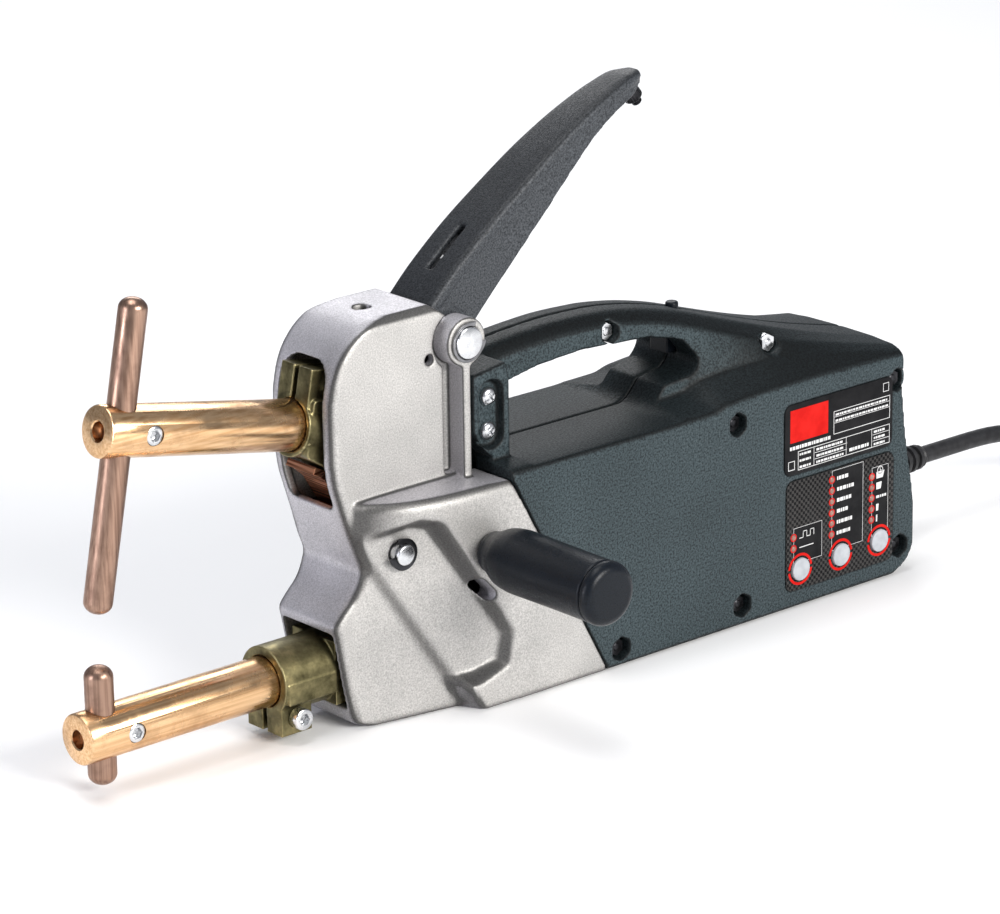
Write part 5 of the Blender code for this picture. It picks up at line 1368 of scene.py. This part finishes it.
def add_shell_screws(look):
    """Screws through both shells: cross-recess heads on the right, hexagon nuts on the left."""
    places = [(x, z, BODY_HALF - 7) for x, z in SCREW_PLACES]
    places += [(x, z, half - 6.5) for x, z, half in HANDLE_SCREW_PLACES]
    for index, (x, z, seat) in enumerate(places):
        name = f"shell_screw_{index + 1}"
        length = 2 * seat + 4.2
        head = [(-2.4, 0.0), (-2.4, 1.4), (-2.1, 2.5), (-1.5, 3.2), (-0.7, 3.6), (0, 3.6)]
        tip = [(0, SCREW_RADIUS), (length - 0.6, SCREW_RADIUS), (length, SCREW_RADIUS - 0.5)]
        screw = turned(name + "_look", head + tip, (x, seat + GAP, z), (0, -1, 0), count=32)
        nut = prism("nut", circle((x, z), 4.0, 6, math.pi / 6), "Y", -seat - 3.2 - GAP, -seat - GAP)
        join(screw, nut)
        cut(screw, *cross_recess((x, z), seat + GAP + 2.4, -1, 2.1, 0.45, 1.4))
        bright = index >= len(SCREW_PLACES)
        finish_piece(ease_edges(screw, 0.1, 1, 40), look["steel" if bright else "dark_steel"],
                     "body", "zinc_steel", name)


# ---------------------------------------------------------------- side grip
def add_grip(look):
    """The round side grip with a slightly waisted body, a groove and a domed end cap."""
    length = -BODY_HALF - GAP - GRIP_END
    base = (GRIP_X, -BODY_HALF - GAP, GRIP_Z)
    radius = GRIP_RADIUS
    neck = ((0, 8.4), (1.0, 8.9), (2.5, 9.1), (8.0, 11.4), (11.0, 12.7), (14.0, radius - 0.5),
            (18.0, radius - 0.05))
    profile = [(along, smooth_table(neck, along)) for along in spread(0, 18, 24)]
    profile += [(along, radius - 0.3 * math.sin(math.pi * (along - 18) / 80))
                for along in spread(20, length - 7.2, 16)]
    profile += [(length - 6.5, radius - 0.35), (length - 6.1, radius - 0.8)]
    grip = turned("side_grip_look", profile, base, (0, -1, 0), count=96, smooth=50)
    stud_start = (GRIP_X, -BODY_HALF + 2, GRIP_Z)
    cut(grip, rod("stud_way", stud_start, (0, -1, 0), 32, GRIP_STUD_RADIUS + GAP, count=32))
    finish_piece(grip, look["black"], "body", "black_plastic", "side_grip")
    grip.data.shade_smooth()
    grip.data.set_sharp_from_angle(angle=math.radians(45))
    edge = [(length - 5.7, radius - 1.0), (length - 5.4, radius - 0.35), (length - 4.9, radius - 0.15)]
    dome = [(length - 4.3 + 4.3 * math.sin(t), (radius - 4.6) + 4.45 * math.cos(t))
            for t in (math.radians(9 * k) for k in range(11))]
    cap = turned("side_grip_cap_look", edge + dome + [(length + 0.0, 0.0)], base, (0, -1, 0), count=96,
                 smooth=50)
    finish_piece(cap, look["black"], "body", "black_plastic", "side_grip_cap")


# ---------------------------------------------------------------- control panel and plate
PRINT_THICK = 0.06


def printed(name, outlines, face, look, slot):
    """Flat printed marks: thin prisms on a face that looks along -Y."""
    marks = [prism(name, outline, "Y", face - PRINT_THICK, face + 0.05) for outline in outlines]
    finish_piece(merge(name, marks), look, "body", slot)


def bar(x0, z0, x1, z1):
    return ((x0, z0), (x1, z0), (x1, z1), (x0, z1))


def frame_bars(x0, z0, x1, z1, thick=0.28):
    """Four bars round a rectangle."""
    return [bar(x0, z0, x1, z0 + thick), bar(x0, z1 - thick, x1, z1),
            bar(x0, z0 + thick, x0 + thick, z1 - thick), bar(x1 - thick, z0 + thick, x1, z1 - thick)]


def arc_band(centre, inner, outer, start, end, count=28):
    """A band between two radii, from one angle to another, in degrees."""
    turns = [math.radians(start + (end - start) * k / count) for k in range(count + 1)]
    band = [(centre[0] + outer * math.cos(t), centre[1] + outer * math.sin(t)) for t in turns]
    return band + [(centre[0] + inner * math.cos(t), centre[1] + inner * math.sin(t))
                   for t in reversed(turns)]


def dashes(x, z, length, height, seed):
    """A row of short bars that stands for a line of small print."""
    marks = []
    step = 0
    end = x + length
    while x < end - 0.8:
        width = 0.7 + ((seed * 7 + step * 5) % 4) * 0.45
        marks.append(bar(x, z, min(x + width, end), z + height))
        x += width + 0.45
        step += 1
    return marks


def add_rating_plate(look):
    (x0, z0), (x1, z1) = PLATE_BOX
    face, seat = -BODY_HALF - 0.1, -BODY_HALF + 0.7
    plate = prism("rating_plate_look", rounded(bar(x0, z0, x1, z1), 3.5, 8), "Y", face, seat)
    finish_piece(ease_edges(plate, 0.12), look["plate"], "body", "plate_black", "rating_plate")
    printed("plate_red_field", [bar(x0 + 3.2, z1 - 17.6, x0 + 26.5, z1 - 2.6)], face, look["red"],
            "light_red")
    marks = []
    marks += frame_bars(x0 + 30.0, z0 + 13.2, x1 - 1.6, z1 - 8.6, 0.26)
    marks += [bar(x0 + 30.0, z1 - 11.4, x1 - 1.6, z1 - 11.2),
              bar(x0 + 30.0, z1 - 14.2, x1 - 1.6, z1 - 14.0)]
    marks += dashes(x0 + 31.2, z1 - 10.8, 33.0, 0.9, 1) + dashes(x0 + 31.2, z1 - 13.6, 33.0, 0.9, 2)
    marks += dashes(x0 + 3.0, z0 + 11.6, 25.0, 1.6, 3)
    marks += frame_bars(x0 + 8.0, z0 + 1.6, x1 - 1.6, z0 + 10.4, 0.26)
    for share in (0.17, 0.52, 0.80):
        x = x0 + 8.0 + (x1 - x0 - 9.6) * share
        marks.append(bar(x, z0 + 1.8, x + 0.22, z0 + 10.2))
    for level in (4.4, 7.3):
        marks.append(bar(x0 + 18.3, z0 + level, x0 + 38.5, z0 + level + 0.22))
        marks.append(bar(x0 + 54.6, z0 + level, x1 - 1.8, z0 + level + 0.22))
    for row, level in enumerate((2.4, 5.3, 8.2)):
        marks += dashes(x0 + 19.4, z0 + level, 17.0, 1.0, row + 4)
        marks += dashes(x0 + 55.4, z0 + level, 8.0, 1.0, row + 7)
        marks += dashes(x0 + 9.0, z0 + level, 7.6, 1.0, row + 2)
    marks += dashes(x0 + 40.0, z0 + 3.0, 12.5, 1.5, 9)
    marks += frame_bars(x0 + 2.0, z0 + 2.4, x0 + 6.0, z0 + 6.6, 0.3)
    marks += frame_bars(x1 - 6.0, z1 - 6.4, x1 - 2.4, z1 - 2.4, 0.25)
    printed("plate_white_marks", marks, face, look["ink"], "button_white")


def add_control_panel(look):
    (x0, z0), (x1, z1) = PANEL_BOX
    face, seat = -BODY_HALF - 0.1, -BODY_HALF + 0.7
    panel = prism("control_panel_look", rounded(bar(x0, z0, x1, z1), 4.0, 8), "Y", face, seat)
    cut(panel, *[rod("way", (x, -50, z), (0, 1, 0), 20, BUTTON_RADIUS + 0.4, count=48)
                 for x, z in BUTTON_PLACES])
    finish_piece(ease_edges(panel, 0.12), look["film"], "body", "panel_film", "control_panel")
    fields, marks, reds = [], [], []
    boxes = []
    for (x, low, high), (button_x, button_z) in zip(GUIDE_PLACES, BUTTON_PLACES):
        right = x + (17.6 if x < 230 else 19.6 if x < 255 else 10.4)
        field = (x, button_z + 3.0, right, high + 4.2)
        boxes.append(field)
        fields.append(rounded(bar(*field), 1.2, 3))
        marks += frame_bars(*field, 0.16)
        for half in (0, 1):
            reds.append(arc_band((button_x, button_z), 6.2, 7.4, 6 + 180 * half, 174 + 180 * half))
    printed("panel_black_fields", fields, face + 0.03, look["plate"], "panel_film")
    marks += panel_symbols(boxes)
    printed("panel_white_marks", marks, face - 0.02, look["ink"], "button_white")
    for x, low, high in GUIDE_PLACES:
        count = round((high - low) / 5.1) + 1
        for z in spread(low, high, count):
            reds.append(arc_band((x, z), 1.35, 1.85, 0, 359))
    printed("panel_red_rings", reds, face - 0.03, look["red"], "light_red")
    add_lamps(look, face)


def panel_symbols(boxes):
    """Generic symbols: a square wave and a line, rows of dashes, and steps of growing bars."""
    marks = []
    x0, _, _, top = boxes[0]
    x, z = x0 + 3.6, top - 5.4
    for step in range(4):
        tall = step % 2 == 1
        marks.append(bar(x + 2.2 * step, z + (2.8 if tall else 0), x + 2.2 * step + 2.5,
                         z + (3.15 if tall else 0.35)))
        marks.append(bar(x + 2.2 * step + 2.2, z, x + 2.2 * step + 2.5, z + 3.15))
    marks.append(bar(x, z - 4.4, x + 8.8, z - 4.0))
    _, low, high = GUIDE_PLACES[1]
    for row, level in enumerate(spread(low, high, 6)):
        marks += dashes(GUIDE_PLACES[1][0] + 3.2, level - 0.8, 7.5 + 1.6 * ((row + 1) % 3), 1.7, row + 3)
    x, low, high = GUIDE_PLACES[2]
    for row, level in enumerate(spread(low, high, 5)):
        if row == 2:
            marks += dashes(x + 2.8, level - 0.6, 6.4, 1.2, 5)
            continue
        size = (0.9, 1.6, 0, 3.4, 5.0)[row]
        marks.append(((x + 2.9, level - 1.5), (x + 2.9 + size * 0.8, level - 1.5),
                      (x + 2.9 + size, level + 1.7),
                      (x + 2.9, level + 1.7)))
    marks.append(arc_band((x + 5.2, high + 2.2), 1.5, 1.85, 0, 359))
    marks.append(bar(x + 5.1, high + 2.2, x + 5.35, high + 3.4))
    marks.append(bar(x + 5.1, high + 2.0, x + 6.1, high + 2.25))
    return marks


def add_lamps(look, face):
    """Small domed lamp windows, one for each setting, over the light guide."""
    lamps = []
    for x, low, high in GUIDE_PLACES:
        for z in spread(low, high, round((high - low) / 5.1) + 1):
            dome = [(-0.02, 1.3), (0.22, 1.22), (0.42, 0.95), (0.55, 0.5), (0.6, 0.0)]
            lamps.append(turned("lamp", dome, (x, face, z), (0, -1, 0), count=20, smooth=60))
    finish_piece(merge("lamp_windows", lamps), look["lamp"], "body", "light_red")


def add_buttons(look):
    """Domed push buttons with a rolled edge."""
    radius = BUTTON_RADIUS
    edge = [(6.4 + 0.55 * math.sin(t), radius - 0.9 + 0.9 * math.cos(t))
            for t in (math.radians(15 * k) for k in range(7))]
    profile = [(0, radius)] + edge + [(7.2, radius * 0.55), (7.42, radius * 0.25), (7.5, 0)]
    for name, (x, z) in zip(BUTTON_NAMES, BUTTON_PLACES):
        button = turned(name + "_look", profile, (x, -BODY_HALF + 5.6, z), (0, -1, 0), count=64, smooth=50)
        finish_piece(button, look["button"], name, "button_grey", name)


# ---------------------------------------------------------------- lever fittings
def add_lever_fittings(look):
    """Knurled adjuster under the tip, the start button, and the tick marks beside the slot."""
    profile = [(-6.5, 2.0), (-6.2, 2.3), (-3.4, 2.3), (-3.4, 3.7), (-2.9, 4.2), (3.0, 4.2), (3.5, 3.7),
               (3.5, 2.5), (8.5, 2.5)]
    adjuster = turned("start_adjuster_look", profile, ADJUSTER_REST, adjuster_direction(), count=64,
                      smooth=35)
    frame_turn = Vector(adjuster_direction()).to_track_quat("Z", "Y").to_matrix()
    grooves = []
    for k in range(20):
        turn = 2 * math.pi * k / 20
        foot = Vector(ADJUSTER_REST) + frame_turn @ Vector((4.35 * math.cos(turn), 4.35 * math.sin(turn),
                                                            -3.3))
        grooves.append(rod("groove", foot, adjuster_direction(), 6.6, 0.38, count=6))
    cut(adjuster, *grooves)
    finish_piece(adjuster, look["dark_steel"], "adjuster", "zinc_steel", "start_adjuster")
    x, z = START_BUTTON
    profile = [(-10.0, 2.9), (-1.0, 2.9), (-0.45, 2.75), (-0.1, 2.3), (0, 1.4), (0.02, 0)]
    button = turned("start_button_look", profile, (x, 0, z), (0, 0, 1), count=48, smooth=50)
    finish_piece(button, look["black"], "start_button", "black_plastic", "start_button")
    ticks = []
    for k in range(6):
        distance = 2.2 + 2.5 * k
        reach = 3.0 if k % 5 == 0 else 2.2
        rings = []
        for level in (-1.2, 0.28):
            corners = ((-0.14, -2.9), (0.14, -2.9), (0.14, -2.9 - reach), (-0.14, -2.9 - reach))
            rings.append([screw_point(distance + d, level, y) for d, y in corners])
        ticks.append(loft("tick", rings))
    finish_piece(merge("slot_ticks", ticks), look["lever"], "lever", "black_plastic")


# ---------------------------------------------------------------- power cable
CABLE_ROUTE = (
    (336.0, 0.0, 34.0), (348.0, 0.0, 34.0), (362.0, 0.0, 34.0), (376.0, 0.2, 33.7), (390.0, 0.8, 32.3),
    (403.0, 1.8, 29.0), (415.5, 3.2, 24.0), (428.0, 4.9, 18.2), (441.0, 6.9, 12.6), (454.0, 9.2, 8.3),
    (468.0, 11.6, 5.6), (482.0, 13.6, 4.5), (496.0, 15.0, 4.2), (509.0, 15.6, 4.2), (520.0, 15.7, 4.2),
)
COIL_CENTRE = (520.0, -44.6)
COIL_PITCH = 8.15  # from one layer of turns to the next
COIL_RADII = (52.1, 43.95, 35.8)  # of the turns side by side
COIL_TURNS = 6.5
TURN_POINTS = 36
PLUG_BACK = (486.5, -96.6, 19.3)  # where the cable enters the plug


def coil_point(turns):
    """A point of the coil, in turns from its start at +Y, clockwise seen from above."""
    share = turns % 1.0
    layer_turn = int(turns)
    radii = COIL_RADII + COIL_RADII[::-1] + (COIL_RADII[0],)
    here = radii[min(layer_turn, 6)]
    before = radii[layer_turn - 1] if layer_turn > 0 else CABLE_ROUTE[-1][1] - COIL_CENTRE[1]
    radius = before + (here - before) * blend(0.0, 0.3, share)
    climb = blend(2.78, 2.98, turns)
    height = CABLE_ROUTE[-1][2] + COIL_PITCH * climb + 2.2 * blend(6.3, 6.5, turns)
    swing = math.pi / 2 - 2 * math.pi * turns
    return (COIL_CENTRE[0] + radius * math.cos(swing), COIL_CENTRE[1] + radius * math.sin(swing), height)


def cable_points():
    """The cable's centre line: down to the bench, round the coil, and across it to the plug."""
    route = [Vector(spot) for spot in CABLE_ROUTE]
    points = []
    for index in range(len(route) - 1):
        before = route[max(index - 1, 0)]
        start, end = route[index], route[index + 1]
        after = route[min(index + 2, len(route) - 1)]
        points += [start, (start + end) * 0.5625 - (before + after) * 0.0625]
    points += [Vector(coil_point(k / TURN_POINTS)) for k in range(int(COIL_TURNS * TURN_POINTS) + 1)]
    leave = points[-1]
    plug = Vector(PLUG_BACK) + Vector((0.3, 0, 0))
    slope = (points[-1] - points[-2]).normalized() * 14.0
    for t in spread(0.14, 1.0, 7):
        spot = (leave * (1 - t) ** 3 + (leave + slope) * 3 * t * (1 - t) ** 2
                + (plug + Vector((12, 0, 0))) * 3 * t * t * (1 - t) + plug * t ** 3)
        points.append(spot)
    return points


def add_cable(look):
    """The cable as one smooth tube of its real length."""
    curve = bpy.data.curves.new("power_cable_look", "CURVE")
    curve.dimensions = "3D"
    curve.bevel_depth = CABLE_RADIUS * MM
    curve.bevel_resolution = 6
    curve.use_fill_caps = True
    points = cable_points()
    spline = curve.splines.new("POLY")
    spline.points.add(len(points) - 1)
    for point, spot in zip(spline.points, points):
        point.co = (*(spot * MM), 1.0)
    spline.use_smooth = True
    cable = stand("power_cable_look", curve)
    curve.materials.append(look["rubber"])
    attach(cable, "body")
    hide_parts("power_cable", "cable_coil")
    return cable


def add_cable_ends(look):
    """The gland with its ribbed sleeve, the tie, and the plug with its two pins."""
    sleeve = [(0, 11.0), (3.0, 11.0), (3.0, 7.6), (11.2, 7.6), (11.2, 10.0), (11.7, 10.5), (16.4, 10.5),
              (17.2, 9.6)]
    for k in range(8):
        at = 18.6 + 4.5 * k
        size = 8.4 - 0.36 * k
        sleeve += [(at, size - 1.3), (at + 0.9, size - 1.3), (at + 1.3, size), (at + 3.1, size),
                   (at + 3.5, size - 1.3)]
    sleeve += [(55.0, 5.3), (55.8, 4.8)]
    gland = turned("cable_gland_look", sleeve, (GLAND_X, 0, CABLE_Z), (1, 0, 0), count=64, smooth=35)
    finish_piece(gland, look["rubber"], "body", "black_plastic", "cable_gland")
    body = [(0, 4.6), (0.6, 4.9), (3, 5.2), (26, 6.6), (26.6, 10.8), (28, 12.0), (33, 15.0), (39, 16.6),
            (45, 17.4),
            (50, 17.0), (53, 17.2), (56, 18.6), (57, 18.8), (66, 18.8), (67.4, 18.5), (68, 17.6)]
    plug = turned("mains_plug_look", body, PLUG_BACK, (-1, 0, 0), count=72, smooth=40)
    finish_piece(plug, look["rubber"], "body", "black_plastic", "mains_plug")
    for sign, side in ((-1, "lower"), (1, "upper")):
        start = (PLUG_BACK[0] - 67.5, PLUG_BACK[1] + sign * 9.5, PLUG_BACK[2])
        pin = turned("mains_plug_pin_" + side, [(0, 2.4), (17.6, 2.4), (18.9, 1.9), (19.5, 0.9), (19.5, 0)],
                     start, (-1, 0, 0), count=32, smooth=40)
        finish_piece(pin, look["steel"], "body", "zinc_steel")
        pin.parent = plug
        pin.matrix_parent_inverse = plug.matrix_world.inverted()
    dress_node("cable_tie", look["black"], 0.3)


# ---------------------------------------------------------------- the whole object
DRESSED = {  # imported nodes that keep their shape: finish and edge width in millimetres
    "push_link": ("steel", 0.3), "link_pin_arm": ("steel", 0.2), "link_pin_lever": ("steel", 0.2),
    "flexible_shunt": ("shunt", 0.1), "transformer_core": ("core", 0.3),
    "primary_winding": ("winding", 0.5),
    "secondary_turn": ("shunt", 0.3), "force_screw": ("steel", 0.15), "force_pointer": ("white", 0.1),
    "force_spring": ("spring", 0), "start_switch": ("black", 0.3), "side_grip_stud": ("steel", 0.15),
    "control_board": ("board", 0.1), "light_guide": ("red", 0.1),
}


def dress_inner_nodes(look):
    """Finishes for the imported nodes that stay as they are."""
    for name, (finish, width) in DRESSED.items():
        dress_node(name, look[finish], width)


def add_housings(look):
    """The casting, both halves of the body, and the lever."""
    finish_piece(build_casting(), look["cast"], "body", "cast_housing", "front_casting")
    body = build_body()
    for sign, node in ((-1, "body_shell_left"), (1, "body_shell_right")):
        finish_piece(build_shell(body, sign), look["shell"], "body", "shell_plastic", node)
    bpy.data.objects.remove(body, do_unlink=True)
    finish_piece(build_lever(), look["lever"], "lever", "black_plastic", "lever")


add_camera()
look = make_looks()
cable = add_cable(look)
add_cable_ends(look)
add_floor()
add_lights()
add_housings(look)
add_arms(look)
add_holders(look)
add_pins(look)
add_flange_screws(look)
add_shell_screws(look)
add_grip(look)
add_rating_plate(look)
add_control_panel(look)
add_buttons(look)
add_lever_fittings(look)
dress_inner_nodes(look)
